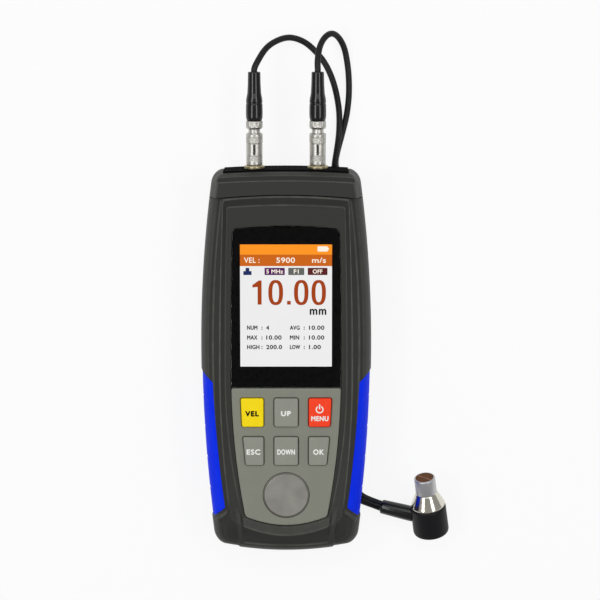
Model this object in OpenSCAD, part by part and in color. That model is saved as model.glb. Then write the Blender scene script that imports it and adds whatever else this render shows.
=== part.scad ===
// Ultrasonic thickness gauge: a hand-held case with a colour screen, six keys and a steel zero
// block, and a twin-element probe on two leads with push-pull plugs.
// The gauge lies on its back. +Z points out of the screen and +Y towards the sockets.
// The origin is under the middle of the case, at the height of the back. Sizes are in millimetres.

/* [Case] */
// Length of the case, without the sockets
case_len = 157; // [150:1:170]
// Width of the case at its waist
case_w = 69.2; // [68:0.2:74]
// Thickness of the case, from the back to the crest of the front
case_t = 30; // [29.5:0.1:34]
// Height of the parting line between the two covers
part_z = 15; // [13.5:0.1:16]
// Thickness of the walls
wall = 2.2; // [1.8:0.1:2.6]
// Distance of the waist above the middle of the case
waist_y = 5; // [0:1:10]
// Bow radius of the flanks above the waist
flank_up_r = 505; // [450:5:700]
// Bow radius of the flanks below the waist
flank_down_r = 600; // [500:5:800]
// Arch radius of the socket end
top_arch_r = 420; // [300:10:800]
// Arch radius of the lower end
bottom_arch_r = 130; // [110:5:300]
// Radius of the corners at the socket end
top_corner_r = 5; // [4:0.5:6]
// Radius of the corners at the lower end
bottom_corner_r = 4; // [3:0.5:6]

/* [Back] */
// How far the flat of the back stands in from the flanks
back_inset = 11.5; // [10:0.5:13]
// Height at which the slopes round the back end
back_rise = 9.5; // [8:0.5:10]
// How far the flat of the back stands in from the socket end
back_top_in = 18.5; // [15:0.5:22]
// How far the flat of the back stands in from the lower end
back_bottom_in = 14; // [12:0.5:16]

/* [Front] */
// Width between the crests of the front frame
crest_w = 53.2; // [52.6:0.1:54]
// Width of the sunk front panel
panel_w = 48.8; // [48:0.1:50]
// Depth of the sunk panel under the crest
panel_drop = 1.4; // [1:0.1:1.8]
// Width of the recess for the window and the keypad
recess_w = 44.6; // [44.2:0.1:45.4]
// Distance of the recess from the socket end of the case
recess_top_in = 22.2; // [21:0.1:24]
// Distance of the recess from the lower end of the case
recess_bottom_in = 11.8; // [11.2:0.1:12.6]
// Height of the ledge under the window and the keypad
ledge_t = 1; // [0.8:0.1:1.2]

/* [Top cap] */
// Length of the top cap at its middle
cap_len = 10; // [9:0.1:12]
// Gap along the seam between the cap and the covers
seam_gap = 0.4; // [0.2:0.05:0.6]
// Arch radius of the seam
seam_arch_r = 280; // [220:10:500]
// Width of the black end plate
plate_w = 50; // [46:0.5:50.5]
// Height of the black end plate
plate_h = 17.6; // [16:0.1:17.8]
// Thickness of the black end plate
plate_t = 0.8; // [0.6:0.1:1.2]

/* [Window and screen] */
// Thickness of the window
lens_t = 1.5; // [1:0.1:1.6]
// Thickness of the black tape under the window
tape_t = 0.3; // [0.2:0.05:0.4]
// Width of the lit part of the screen
screen_w = 36.8; // [34:0.2:38]
// Height of the lit part of the screen
screen_h = 49.6; // [46:0.2:51]
// Distance from the top of the window to the lit part of the screen
screen_drop = 7.8; // [7:0.1:9]
// Thickness of the screen module
module_t = 2.5; // [2:0.1:3]

/* [Keypad] */
// Distance from the top of the recess to the top of the keypad panel
keypad_drop = 66; // [65:0.1:68]
// Width of the middle keys
key_w = 9.6; // [8:0.1:10]
// Height of the keys
key_h = 11.7; // [10:0.1:12]
// Distance between the key columns
key_column = 13.9; // [13.5:0.1:14.5]
// Distance between the key rows
key_row = 15.9; // [15.4:0.1:16.6]
// Distance of the first key row from the top of the keypad panel
key_first = 9.9; // [9.2:0.1:10.4]
// How far the keys stand proud of the panel
key_proud = 1.2; // [1:0.1:1.6]
// Travel of a key
key_travel = 0.8; // [0.6:0.1:1]
// Clearance round a key
key_clear = 0.2; // [0.15:0.05:0.3]

/* [Zero block] */
// Diameter of the zero block
disc_d = 18.8; // [17:0.2:19.4]
// Thickness of the zero block
disc_t = 4; // [3.6:0.1:4.2]
// How far the zero block stands proud of the keypad panel
disc_proud = 0.8; // [0.5:0.1:1]
// Distance of the zero block from the top of the keypad panel
disc_drop = 44.2; // [43:0.1:45]

/* [Grips] */
// Length of a grip on the flank
grip_len = 61.6; // [56:0.2:64]
// Distance of the grips from the socket end of the case
grip_drop = 81.6; // [80:0.2:84]
// Thickness of a grip
grip_t = 1.5; // [1.2:0.1:1.6]
// How far a grip stands in from the flank beside it
grip_sink = 0.5; // [0.3:0.1:0.7]
// Distance between the grooves of a grip
groove_pitch = 12.8; // [11:0.1:13.5]
// Depth of the grooves of a grip
groove_depth = 0.5; // [0.3:0.1:0.6]

/* [Batteries] */
// Diameter of a cell
cell_d = 14.5; // [13.8:0.1:14.7]
// Length of a cell
cell_l = 50.5; // [48:0.1:51]
// Thickness of the battery door
door_t = 1.6; // [1.4:0.1:1.8]
// Clearance round the battery door
door_clear = 0.2; // [0.15:0.05:0.3]

/* [Plugs] */
// Distance between the two sockets
socket_pitch = 25.4; // [22:0.2:28]
// Outside diameter of a plug
plug_d = 6.7; // [6.2:0.1:7]
// Length of the sliding sleeve of a plug
sleeve_l = 12.8; // [11:0.1:14]
// Travel of the sliding sleeve
sleeve_travel = 1.4; // [1:0.1:1.8]
// Length of the collet nut of a plug
collet_l = 3.2; // [2.6:0.1:4]
// Length of the boot behind a plug
boot_l = 19.6; // [17:0.1:21]

/* [Probe] */
// Diameter of the probe cap
probe_d = 14.8; // [13.4:0.2:16]
// Height of the probe cap
probe_cap_h = 13; // [12:0.2:14]
// Height of the cone of the probe
probe_cone_h = 6.2; // [5:0.2:8]
// Height of the probe tip
probe_tip_h = 7; // [5:0.2:8]
// Diameter of the probe tip
probe_tip_d = 8.7; // [7.4:0.1:9.4]
// Diameter of a lead
lead_d = 2.5; // [2.2:0.1:2.5]

/* [Hidden] */
$fn = 48;
eps = 0.01;

// Ends of the case: the sockets stand proud of it, and the origin is in the middle of both together
flange_t = 1.3;
plate_sink = 0.35;
plate_spot = 0.35;
socket_proud = flange_t - plate_sink - plate_spot;
case_top = (case_len - socket_proud) / 2;
case_bottom = case_top - case_len;
socket_face = case_top + socket_proud;

// Levels of the front, from the crest down
panel_z = case_t - panel_drop;
lens_top = panel_z - 0.3;
lens_z = lens_top - lens_t;
ledge_z = lens_z - tape_t;
roof_z = ledge_z - ledge_t;
keypad_top = panel_z - 0.3;
board_t = 1.6;
board_top = roof_z - module_t;
board_z = board_top - board_t;

// The layout of the front and of the grips is given for this length of case, and follows the real one
layout_len = 157;
layout_recess = 123;
case_fit = case_len / layout_len;
recess_fit = (case_len - recess_top_in - recess_bottom_in) / layout_recess;

// Flank profile from the parting line to the shoulder:
// inset, depth under the crest, set-back at the socket end, set-back at the lower end
flank = [[0.1, 11, 0.1, 0.2], [0.8, 7, 0.5, 0.7], [2, 4.6, 1, 1.5], [3.2, 3, 1.7, 2.5]];
shoulder_in = 5.2;
shoulder_drop = 1.6;
shoulder_top = 2.8;
shoulder_bottom = 3.8;
crest_top = case_top - cap_len - 0.6;
crest_bottom = case_bottom + recess_bottom_in - 3.6;
panel_top = case_top - cap_len - 4;
panel_bottom = case_bottom + recess_bottom_in - 0.5;
end_rise = 6.2;
recess_top = case_top - recess_top_in;
recess_bottom = case_bottom + recess_bottom_in;
recess_waist = -6;

// Inside of the case
cavity_in = 2 * wall + 0.2;
cavity_end = 2.5 * wall;
column_d = 7;
screw_d = 3;
screw_clear = 0.1;
head_d = 5.6;
head_h = 2.2;
head_slot_l = 3;
head_slot_w = 0.7;
head_slot_h = 1;
head_seat = 9;
columns = [for (side = [-1, 1], y = [case_top - 18, case_bottom + 10.8])
           [side * (y > 0 ? case_w / 2 - 10.2 : case_w / 2 - 15.2), y]];

// Outlines are drawn as half a rounded rectangle, then bowed and arched:
// each point is x, y and an end weight from -1 at the lower edge to 1 at the upper edge
end_steps = 4;
corner_steps = 4;
side_steps = 9;

function half_box(hw, top, bottom, rt, rb) = concat(
    [for (i = [0 : end_steps - 1]) [(hw - rb) * i / end_steps, bottom, -1]],
    [for (i = [0 : corner_steps]) let (a = -90 + 90 * i / corner_steps)
        [hw - rb + rb * cos(a), bottom + rb + rb * sin(a), i / corner_steps - 1]],
    [for (i = [1 : side_steps - 1]) [hw, bottom + rb + (top - rt - bottom - rb) * i / side_steps, 0]],
    [for (i = [0 : corner_steps]) let (a = 90 * i / corner_steps)
        [hw - rt + rt * cos(a), top - rt + rt * sin(a), i / corner_steps]],
    [for (i = [1 : end_steps]) [(hw - rt) * (1 - i / end_steps), top, 1]]);

// Half width at y of a flank that is hw wide at its waist
function bow(hw, y, waist, up_r, down_r) = hw - pow(y - waist, 2) / (2 * (y > waist ? up_r : down_r));

// How far y has gone from one value to another, from 0 to 1
function share(y, from, to) = min(1, max(0, (y - from) / (to - from)));

// Closed ring of points round the case, with its heights on the flanks and at its two ends.
// The arch of an end moves the corners too, and dies away along the flank to the middle.
function ring(hw, top, bottom, rt, rb, z, z_top, z_bottom, waist, up_r, down_r, arch_t, arch_b) =
    let (mid = (top + bottom) / 2)
    let (half = [for (p = half_box(hw, top, bottom, rt, rb))
            let (x = p[0] * bow(hw, p[1], waist, up_r, down_r) / hw)
            let (fall = share(p[1], mid, top - rt) * x * x / (2 * arch_t))
            let (rise = share(p[1], mid, bottom + rb) * x * x / (2 * arch_b))
            let (y = p[1] - fall + rise)
            let (up = max(0, p[2]))
            let (down = max(0, -p[2]))
            [p[0] * bow(hw, y, waist, up_r, down_r) / hw, y, z + up * (z_top - z) + down * (z_bottom - z)]])
    concat(half, [for (i = [len(half) - 2 : -1 : 1]) [-half[i][0], half[i][1], half[i][2]]]);

function case_ring(inset, z, top_in, bottom_in, rt, rb, z_top, z_bottom) =
    ring(case_w / 2 - inset, case_top - top_in, case_bottom + bottom_in, rt, rb, z, z_top, z_bottom,
         waist_y, flank_up_r, flank_down_r, top_arch_r, bottom_arch_r);

function even_ring(inset, z, top_in, bottom_in) =
    case_ring(inset, z, top_in, bottom_in, top_corner_r, bottom_corner_r, z, z);

function recess_ring(gap, z) =
    ring(recess_w / 2 - gap, recess_top - gap, recess_bottom + gap, 2.2, 1.2, z, z, z,
         recess_waist, 2600, 300, 180, 36);

function recess_half(y) = bow(recess_w / 2, y, recess_waist, 2600, 300);
function flat(points) = [for (p = points) [p[0], p[1]]];

back_rings = [
    case_ring(back_inset, 0, back_top_in, back_bottom_in, 6, 6, 0, 0),
    case_ring(1.2, back_rise, 1.2, 1.2, top_corner_r, bottom_corner_r, end_rise, back_rise),
    even_ring(0.2, (back_rise + part_z) / 2 + 0.2, 0.3, 0.3),
    even_ring(0, part_z, 0, 0)];

crest_ring = ring(crest_w / 2, crest_top, crest_bottom, 0.8, 3, case_t, case_t, case_t - 0.4,
                  recess_waist, 1600, 410, 230, 37);
panel_ring = ring(panel_w / 2, panel_top, panel_bottom, 0.8, 1.5, panel_z, panel_z, panel_z,
                  recess_waist, 2500, 244, seam_arch_r, 36);

front_rings = concat(
    [even_ring(0, part_z, 0, 0)],
    [for (f = flank) even_ring(f[0], case_t - f[1], f[2], f[3])],
    [case_ring(shoulder_in, case_t - shoulder_drop, shoulder_top, shoulder_bottom, 3, 3,
               case_t - shoulder_drop + 0.4, case_t - shoulder_drop - 0.6)],
    [crest_ring, panel_ring]);

// The cap has a flat front with sharp corners, and two bevels round it
cap_flat_in = 3;
cap_flat_top = 4.2;
cap_rings = [
    even_ring(0.1, case_t - 11, 0.1, 0.2),
    even_ring(0.7, case_t - 7, 0.7, 0.7),
    case_ring(1.5, case_t - 4.6, 1.2, 1.5, 3, 3, case_t - 4.6, case_t - 4.6),
    case_ring(2.3, case_t - 1.9, 2.3, 2.5, 1.2, 3, case_t - 1.9, case_t - 1.9),
    case_ring(cap_flat_in, case_t - 0.2, cap_flat_top, 3.8, 0.4, 3, case_t - 0.2, case_t - 0.2)];

// Solid through a list of rings with equal point counts, from the lowest ring up
module loft(rings) {
    n = len(rings[0]);
    last = (len(rings) - 1) * n;
    sides = [for (k = [0 : len(rings) - 2], i = [0 : n - 1])
             let (a = k * n + i)
             let (b = k * n + (i + 1) % n)
             each [[a, a + n, b + n], [a, b + n, b]]];
    polyhedron(points = [for (r = rings) each r],
               faces = concat([[for (i = [0 : n - 1]) i]], sides, [[for (i = [n - 1 : -1 : 0]) last + i]]));
}

module slab(points, z0, z1) {
    translate([0, 0, z0]) linear_extrude(z1 - z0) polygon(flat(points));
}

// Everything on the socket side of the seam, moved by shift
module above_seam(shift) {
    reach = case_w;
    seam_y = case_top - cap_len + shift;
    arc = [for (i = [-8 : 8]) let (x = reach * i / 8) [x, seam_y - x * x / (2 * seam_arch_r)]];
    translate([0, 0, -1]) linear_extrude(case_t + 2)
        polygon(concat(arc, [[reach, case_len], [-reach, case_len]]));
}

// Grips: a strip between an outer and an inner profile, each point an inset from the flank and a height
grip_out = [[5, case_t - 2.2], [3.4, case_t - 3.4], [2.3, case_t - 5], [1.3, case_t - 7.6],
            [grip_sink + 0.1, case_t - 11], [grip_sink, part_z], [grip_sink + 0.2, part_z - 2.7],
            [1.9, back_rise - 0.3], [3.2, back_rise - 1.6]];
grip_dir = [[0.4, -0.9], [0.6, -0.8], [0.8, -0.6], [0.95, -0.3], [1, -0.05], [1, 0], [1, 0.1],
            [0.85, 0.5], [0.7, 0.7]];
grip_top = case_top - grip_drop * case_fit;
grip_run = grip_len * case_fit;
grip_bottom = grip_top - grip_run;
grip_slant_top = 0.9;
grip_slant_bottom = 1.1;
grip_clear = 0.1;
groove_count = 4;
groove_half = 0.7;
groove_shift = 0.4;

function grip_edge(depth, side) = [for (i = [0 : len(grip_out) - 1])
    grip_out[i] + depth * grip_dir[i] + side * (i == 0 ? [0.9, 0.4] : i == len(grip_out) - 1 ? [0.7, -0.7] : [0, 0])];
function grip_station(inset, t, spread) =
    let (top = grip_top - grip_slant_top * inset + spread)
    let (bottom = grip_bottom + grip_slant_bottom * inset - spread)
    top + (bottom - top) * t;
function grip_section(edge, t, cut, spread) = [for (i = [0 : len(edge) - 1])
    let (p = edge[i])
    let (y = grip_station(p[0], t, spread))
    let (sunk = i == 0 || i == len(edge) - 1 ? 0 : cut)
    [bow(case_w / 2, y, waist_y, flank_up_r, flank_down_r) - p[0] - sunk, y, p[1]]];

// Solid of a strip: stations along the grip, each a run down the outer profile and back up the inner
module strip(outer, inner, stations, cuts, spread) {
    m = len(outer);
    n = 2 * m;
    s = len(stations);
    points = [for (j = [0 : s - 1]) each concat(
        grip_section(outer, stations[j], cuts[j], spread),
        [for (i = [m - 1 : -1 : 0]) grip_section(inner, stations[j], 0, spread)[i]])];
    sides = [for (j = [0 : s - 2], i = [0 : n - 1])
             let (a = j * n + i)
             let (b = j * n + (i + 1) % n)
             each [[a, b, b + n], [a, b + n, a + n]]];
    first = [for (i = [0 : m - 2]) each [[i, n - 1 - i, n - 2 - i], [i, n - 2 - i, i + 1]]];
    last = [for (i = [0 : m - 2]) each [[(s - 1) * n + i, (s - 1) * n + n - 2 - i, (s - 1) * n + n - 1 - i],
                                        [(s - 1) * n + i, (s - 1) * n + i + 1, (s - 1) * n + n - 2 - i]]];
    polyhedron(points = points, faces = concat(first, sides, last));
}

groove_at = [for (i = [0 : groove_count - 1])
             0.5 + ((i - (groove_count - 1) / 2) * groove_pitch - groove_shift) / grip_len];
grip_stations = concat([0], [for (t = groove_at) each [t - groove_half / grip_run, t, t + groove_half / grip_run]], [1]);
grip_cuts = concat([0], [for (t = groove_at) each [0, groove_depth, 0]], [0]);

module grip_shape() {
    strip(grip_edge(0, 0), grip_edge(grip_t, 0), grip_stations, grip_cuts, 0);
}

module grip_pockets() {
    plain = [for (i = [0 : 6]) i / 6];
    for (side = [0, 1]) mirror([side, 0, 0])
        strip(grip_edge(-4, grip_clear), grip_edge(grip_t + grip_clear, grip_clear), plain, [for (t = plain) 0], grip_clear);
}

// Keypad layout: column -1, 0 or 1 and row 0 or 1, in the frame of the case
keypad_y = recess_top - keypad_drop * recess_fit;
key_l = key_h * recess_fit;
key_edge = 3.85;
key_flange = 0.9;
key_flange_t = 1;
key_open = key_edge - key_flange - key_clear - 0.5;
contact_h = 0.4;
contact_d = 7;
key_foot = board_top + contact_h + key_travel + 0.2;
panel_under = ledge_z;
disc_y = keypad_y - disc_drop * recess_fit;
disc_z = keypad_top + disc_proud - disc_t;
cup_t = 1;

function key_y(row) = keypad_y - (key_first + row * key_row) * recess_fit;
function key_corners(column, row, grow) =
    let (top = key_y(row) + key_l / 2 + grow)
    let (bottom = key_y(row) - key_l / 2 - grow)
    let (inner = key_column - key_w / 2 - grow)
    column == 0
    ? [[-key_w / 2 - grow, bottom], [key_w / 2 + grow, bottom], [key_w / 2 + grow, top], [-key_w / 2 - grow, top]]
    : [[inner * column, bottom], [(recess_half(bottom) - key_edge + grow) * column, bottom],
       [(recess_half(top) - key_edge + grow) * column, top], [inner * column, top]];

module key_outline(column, row, grow) {
    r = 0.9;
    offset(r = r) offset(delta = -r) polygon(key_corners(column, row, grow));
}

module key(column, row) {
    chamfer = 0.4;
    top = keypad_top + key_proud;
    flange_top = panel_under - key_clear / 2;
    hull() {
        translate([0, 0, flange_top]) linear_extrude(top - chamfer - flange_top) key_outline(column, row, 0);
        translate([0, 0, top - eps]) linear_extrude(eps) key_outline(column, row, -chamfer);
    }
    translate([0, 0, flange_top - key_flange_t]) linear_extrude(key_flange_t) key_outline(column, row, key_flange);
    foot_x = column * key_column;
    translate([foot_x, key_y(row), key_foot]) cylinder(d = 6, h = flange_top - key_flange_t - key_foot);
}

module front_cover() {
    color("#3f403c") difference() {
        union() {
            difference() {
                loft(front_rings);
                above_seam(-seam_gap / 2);
                slab(even_ring(cavity_in, 0, -wall, cavity_end), part_z - 1, roof_z);
            }
            for (c = columns) translate([c[0], c[1], part_z]) cylinder(d = column_d, h = roof_z - part_z + eps);
            for (b = board_bosses) translate([b[0], b[1], board_top]) cylinder(d = boss_d, h = ledge_t + module_t);
            translate([0, disc_y, disc_z - cup_t]) cylinder(d = disc_d + 3, h = ledge_z - disc_z + cup_t);
        }
        slab(recess_ring(0, 0), ledge_z, case_t + 1);
        translate([-screen_w / 2 - 0.8, screen_y - lit_h / 2 - 0.8, roof_z - 1])
            cube([screen_w + 1.6, lit_h + 1.6, ledge_t + 2]);
        translate([0, 0, roof_z - 1]) linear_extrude(ledge_t + 2) polygon(key_opening);
        translate([0, disc_y, disc_z]) cylinder(d = disc_d + 2 * disc_clear, h = disc_t);
        for (c = columns) translate([c[0], c[1], part_z - eps])
            cylinder(d = screw_d + 2 * screw_clear, h = screw_top - part_z + 0.5);
        for (b = board_bosses) translate([b[0], b[1], board_top - eps])
            cylinder(d = board_screw_d + 2 * screw_clear, h = board_screw_l - board_t + 0.2);
        grip_pockets();
    }
}

disc_clear = 0.15;
key_opening_top = key_y(0) + key_l / 2 + key_flange + key_clear;
key_opening_bottom = key_y(1) - key_l / 2 - key_flange - key_clear;
key_opening = [[-recess_half(key_opening_bottom) + key_open, key_opening_bottom],
               [recess_half(key_opening_bottom) - key_open, key_opening_bottom],
               [recess_half(key_opening_top) - key_open, key_opening_top],
               [-recess_half(key_opening_top) + key_open, key_opening_top]];

// Screen, board and their fasteners
lit_h = screen_h * recess_fit;
screen_y = recess_top - screen_drop * recess_fit - lit_h / 2;
module_w = screen_w + 5.8;
boss_d = 4.6;
module_top = screen_y + lit_h / 2 + 3.9;
module_bottom = screen_y - lit_h / 2 - 6.4 * recess_fit;
board_w = case_w - 17.2;
board_low_w = case_w - 24.2;
board_upper = module_top + boss_d / 2 + 2.1;
board_lower = disc_y - 8;
board_step = key_y(0);
board_screw_d = 2;
board_screw_l = 4;
board_head_d = 3.8;
board_head_h = 1.3;
board_bosses = [for (side = [-1, 1]) each [[side * (module_w / 2 - 4), module_top + boss_d / 2 + 0.1],
                                          [side * (board_low_w / 2 - 5), disc_y + 6.2]]];

// Batteries lie side by side behind the board, under the door
door_z = 0.3;
door_top = door_z + door_t;
cell_gap = 0.6;
cell_z = door_top + 0.3 + cell_d / 2;
spring_l = 3.2;
box_wall = 1.4;
box_w = 2 * cell_d + 3 * cell_gap;
box_l = cell_l + 2 * spring_l;
box_low = case_bottom + back_bottom_in + 3.9;
box_top = box_low + box_l;
box_y = box_low + box_l / 2;
box_roof = cell_z + cell_d / 2 + 0.4;
screw_top = part_z + 6;

rail_w = 1.2;
rail_z = 0.8;
door_w = box_w + 1.2;
door_upper = box_top + 2;
door_end = case_bottom + back_bottom_in - (door_top + 0.3) * (back_bottom_in - 1.2) / back_rise;

module door_blank() {
    length = door_upper - door_end;
    translate([-door_w / 2, door_end, door_z]) cube([door_w, length, door_t]);
    translate([-door_w / 2 - rail_w, door_end, door_z + rail_z])
        cube([door_w + 2 * rail_w, length, door_t - rail_z]);
}

module rear_cover() {
    color("#373835") difference() {
        union() {
            difference() {
                loft(back_rings);
                above_seam(-seam_gap / 2);
                loft([even_ring(back_inset + wall, wall, back_top_in - wall, back_bottom_in + wall),
                      even_ring(cavity_in, back_rise + wall, -wall, cavity_end),
                      even_ring(cavity_in, part_z + 1, -wall, cavity_end)]);
            }
            for (c = columns) translate([c[0], c[1], c[1] > 0 ? back_rise - 3.5 : wall + 1])
                cylinder(d = column_d, h = part_z - (c[1] > 0 ? back_rise - 3.5 : wall + 1));
            translate([-box_w / 2 - box_wall, box_y - box_l / 2 - box_wall, wall])
                cube([box_w + 2 * box_wall, box_l + 2 * box_wall, box_roof + box_wall - wall]);
        }
        translate([-box_w / 2, box_y - box_l / 2, -1]) cube([box_w, box_l, box_roof + 1]);
        door_slot();
        for (c = columns) translate([c[0], c[1], -1]) {
            cylinder(d = head_d + 0.6, h = head_seat + 1);
            cylinder(d = screw_d + 2 * screw_clear, h = part_z + 2);
        }
        grip_pockets();
    }
}

// The slot for the door runs out through the slope at the lower end
module door_slot() {
    length = door_upper - case_bottom + door_clear;
    translate([-door_w / 2 - door_clear, case_bottom, -1])
        cube([door_w + 2 * door_clear, length, door_top + door_clear + 1]);
    translate([-door_w / 2 - rail_w - door_clear, case_bottom, door_z + rail_z - door_clear])
        cube([door_w + 2 * rail_w + 2 * door_clear, length, door_t - rail_z + 2 * door_clear]);
}

module battery_door() {
    color("#373835") difference() {
        door_blank();
        for (i = [0 : 4]) translate([-7, door_end + 7 + 2 * i, door_z - eps])
            cube([14, 1, 0.5]);
        translate([-door_w, door_end - eps, door_z - eps])
            rotate([-atan2(back_rise, back_bottom_in - 1.2), 0, 0]) mirror([0, 0, 1]) cube([2 * door_w, 4, 2]);
    }
}

module top_cap() {
    color("#3f403c") difference() {
        union() {
            intersection() {
                loft(concat(back_rings, cap_rings));
                above_seam(seam_gap / 2);
            }
            difference() {
                slab(even_ring(cavity_in + tongue_clear, 0, wall, 0), tongue_z, roof_z - tongue_clear);
                slab(even_ring(cavity_in + tongue_clear + tongue_t, 0, 0, 0), 0, case_t);
                above_seam(seam_gap);
                mirror([0, 1, 0]) translate([-case_w, tongue_l - (case_top - cap_len) , -1])
                    cube([2 * case_w, case_len, case_t + 2]);
            }
        }
        slab(even_ring(cavity_in + 0.5, 0, cap_wall, cavity_end), back_rise + wall, roof_z);
        end_strip(plate_sink + plate_t, -case_t, plate_clear);
        for (side = [-1, 1]) {
            end_place(side, -12) cylinder(d = thread_d + 2 * screw_clear, h = 12);
            end_place(side, nut_seat - 4) cylinder(d = nut_d + 1.4, h = 4);
        }
    }
}

tongue_clear = 0.2;
tongue_t = 1.4;
tongue_l = 4;
tongue_z = back_rise + wall + 0.5;
seat_t = 2.5;
cap_wall = plate_sink + plate_t + seat_t;
nut_seat = -socket_proud - cap_wall;
nut_d = 8.6;
plate_clear = 0.1;
plate_z = part_z - 8.4;
plug_z = part_z + 1;
thread_d = 6;
flange_d = 8.2;
bore_d = 5;
bore_l = 8.5;

// Places a turned piece at a socket: its own z axis runs along +Y from the face of the socket
module end_place(side, rise) {
    translate([side * socket_pitch / 2, socket_face + rise, plug_z]) rotate([-90, 0, 0]) children();
}

// Strip along the arched socket end, between two set-backs from it, grown at its sides by grow
module end_strip(back, face, grow) {
    intersection() {
        difference() {
            slab(even_ring(0, 0, face, 0), 0, case_t);
            slab(even_ring(0, 0, back, 0), -1, case_t + 1);
        }
        translate([-plate_w / 2 - grow, 0, plate_z - grow])
            cube([plate_w + 2 * grow, case_len, plate_h + 2 * grow]);
    }
}

// The flanges of the sockets sit in flat spots in the arched plate
module end_plate() {
    color("#141414") difference() {
        end_strip(plate_sink + plate_t, plate_sink, 0);
        for (side = [-1, 1]) {
            end_place(side, -12) cylinder(d = thread_d + 2 * screw_clear, h = 24);
            end_place(side, -flange_t) cylinder(d = flange_d + 2 * plate_clear, h = 12);
        }
    }
}

module window() {
    color("#0c0c10", 0.35) intersection() {
        slab(recess_ring(fit_clear, 0), lens_z, lens_top);
        translate([-case_w, keypad_y + fit_clear / 2, 0]) cube([2 * case_w, case_len, case_t]);
    }
}

fit_clear = 0.15;
tape_in = 0.4;

module window_tape() {
    color("#0b0b0d") difference() {
        intersection() {
            slab(recess_ring(tape_in, 0), ledge_z, lens_z);
            translate([-case_w, keypad_y + tape_in, 0]) cube([2 * case_w, case_len, case_t]);
        }
        translate([-screen_w / 2, screen_y - lit_h / 2, 0]) cube([screen_w, lit_h, case_t]);
    }
}

module screen() {
    color("#ebebeb") translate([-module_w / 2, module_bottom, board_top])
        cube([module_w, module_top - module_bottom, module_t]);
}

module keypad_panel() {
    color("#8a8c80") difference() {
        intersection() {
            slab(recess_ring(fit_clear, 0), panel_under, keypad_top);
            translate([-case_w, -case_len + keypad_y - fit_clear / 2, 0]) cube([2 * case_w, case_len, case_t]);
        }
        for (column = [-1 : 1], row = [0, 1]) translate([0, 0, 1]) linear_extrude(case_t)
            key_outline(column, row, key_clear);
        translate([0, disc_y, 1]) cylinder(d = disc_d + 2 * disc_clear, h = case_t);
    }
}

module key_velocity() { color("#f5d710") key(-1, 0); }
module key_up() { color("#96988f") key(0, 0); }
module key_menu() { color("#ff4020") key(1, 0); }
module key_escape() { color("#96988f") key(-1, 1); }
module key_down() { color("#96988f") key(0, 1); }
module key_ok() { color("#96988f") key(1, 1); }

module zero_block() {
    rim = 0.6;
    color("#b9b9b4") translate([0, disc_y, disc_z]) rotate_extrude()
        polygon([[0, 0], [disc_d / 2 - rim / 2, 0], [disc_d / 2, rim / 2], [disc_d / 2, disc_t - rim],
                 [disc_d / 2 - rim, disc_t], [0, disc_t]]);
}

module grip_right() { color("#0a32f5") grip_shape(); }
module grip_left() { color("#0a32f5") mirror([1, 0, 0]) grip_shape(); }

module main_board() {
    color("#1d5b38") difference() {
        translate([0, 0, board_z]) linear_extrude(board_t) polygon([
            [-board_low_w / 2, board_lower], [board_low_w / 2, board_lower], [board_low_w / 2, board_step],
            [board_w / 2, board_step + 4], [board_w / 2, board_upper], [-board_w / 2, board_upper],
            [-board_w / 2, board_step + 4], [-board_low_w / 2, board_step]]);
        for (b = board_bosses) translate([b[0], b[1], 0]) cylinder(d = board_screw_d + 2 * screw_clear, h = case_t);
    }
}

module key_contacts() {
    color("#c9b26a") for (column = [-1 : 1], row = [0, 1])
        translate([column * key_column, key_y(row), board_top]) cylinder(d = contact_d, h = contact_h);
}

module board_screws() {
    color("#b4b4b4") for (b = board_bosses) {
        translate([b[0], b[1], board_z - board_head_h]) cylinder(d = board_head_d, h = board_head_h);
        translate([b[0], b[1], board_z - eps]) cylinder(d = board_screw_d, h = board_screw_l);
    }
}

module case_screws() {
    color("#55565a") for (c = columns) translate([c[0], c[1], head_seat - head_h]) difference() {
        union() {
            cylinder(d = head_d, h = head_h);
            cylinder(d = screw_d, h = screw_top - head_seat + head_h);
        }
        for (turn = [0, 90]) rotate(turn)
            translate([-head_slot_l / 2, -head_slot_w / 2, -eps]) cube([head_slot_l, head_slot_w, head_slot_h]);
    }
}

module cell(side) {
    nub_d = 5.2;
    nub_l = 1.2;
    can_l = cell_l - nub_l;
    translate([side * (cell_d + cell_gap) / 2, box_y - side * cell_l / 2, cell_z]) rotate([-90 * side, 0, 0]) {
        cylinder(d = cell_d, h = can_l);
        translate([0, 0, can_l - eps]) cylinder(d = nub_d, h = nub_l + eps);
    }
}

module cell_left() { color("#2e5fa8") cell(-1); }
module cell_right() { color("#2e5fa8") cell(1); }

// A spring presses on the flat end of each cell, drawn as its closed outline
module battery_springs() {
    color("#c8c8c8") for (side = [-1, 1])
        translate([side * (cell_d + cell_gap) / 2, box_y - side * (cell_l / 2 + contact_gap), cell_z])
            rotate([90 * side, 0, 0]) cylinder(d1 = spring_tip_d, d2 = spring_d, h = spring_l - 2 * contact_gap);
}

contact_gap = 0.1;
spring_d = 9;
spring_tip_d = 5;
tab_w = 9;
tab_d = 4.5;

module battery_plates() {
    plate = 0.4;
    color("#c8c8c8") for (side = [-1, 1])
        translate([side * (cell_d + cell_gap) / 2, box_y + side * (cell_l / 2 + contact_gap), cell_z])
            rotate([-90 * side, 0, 0]) {
                cylinder(d = tab_d, h = spring_l - plate - contact_gap);
                translate([-tab_w / 2, -tab_w / 2, spring_l - plate - 2 * contact_gap]) cube([tab_w, tab_w, plate]);
            }
}

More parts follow.
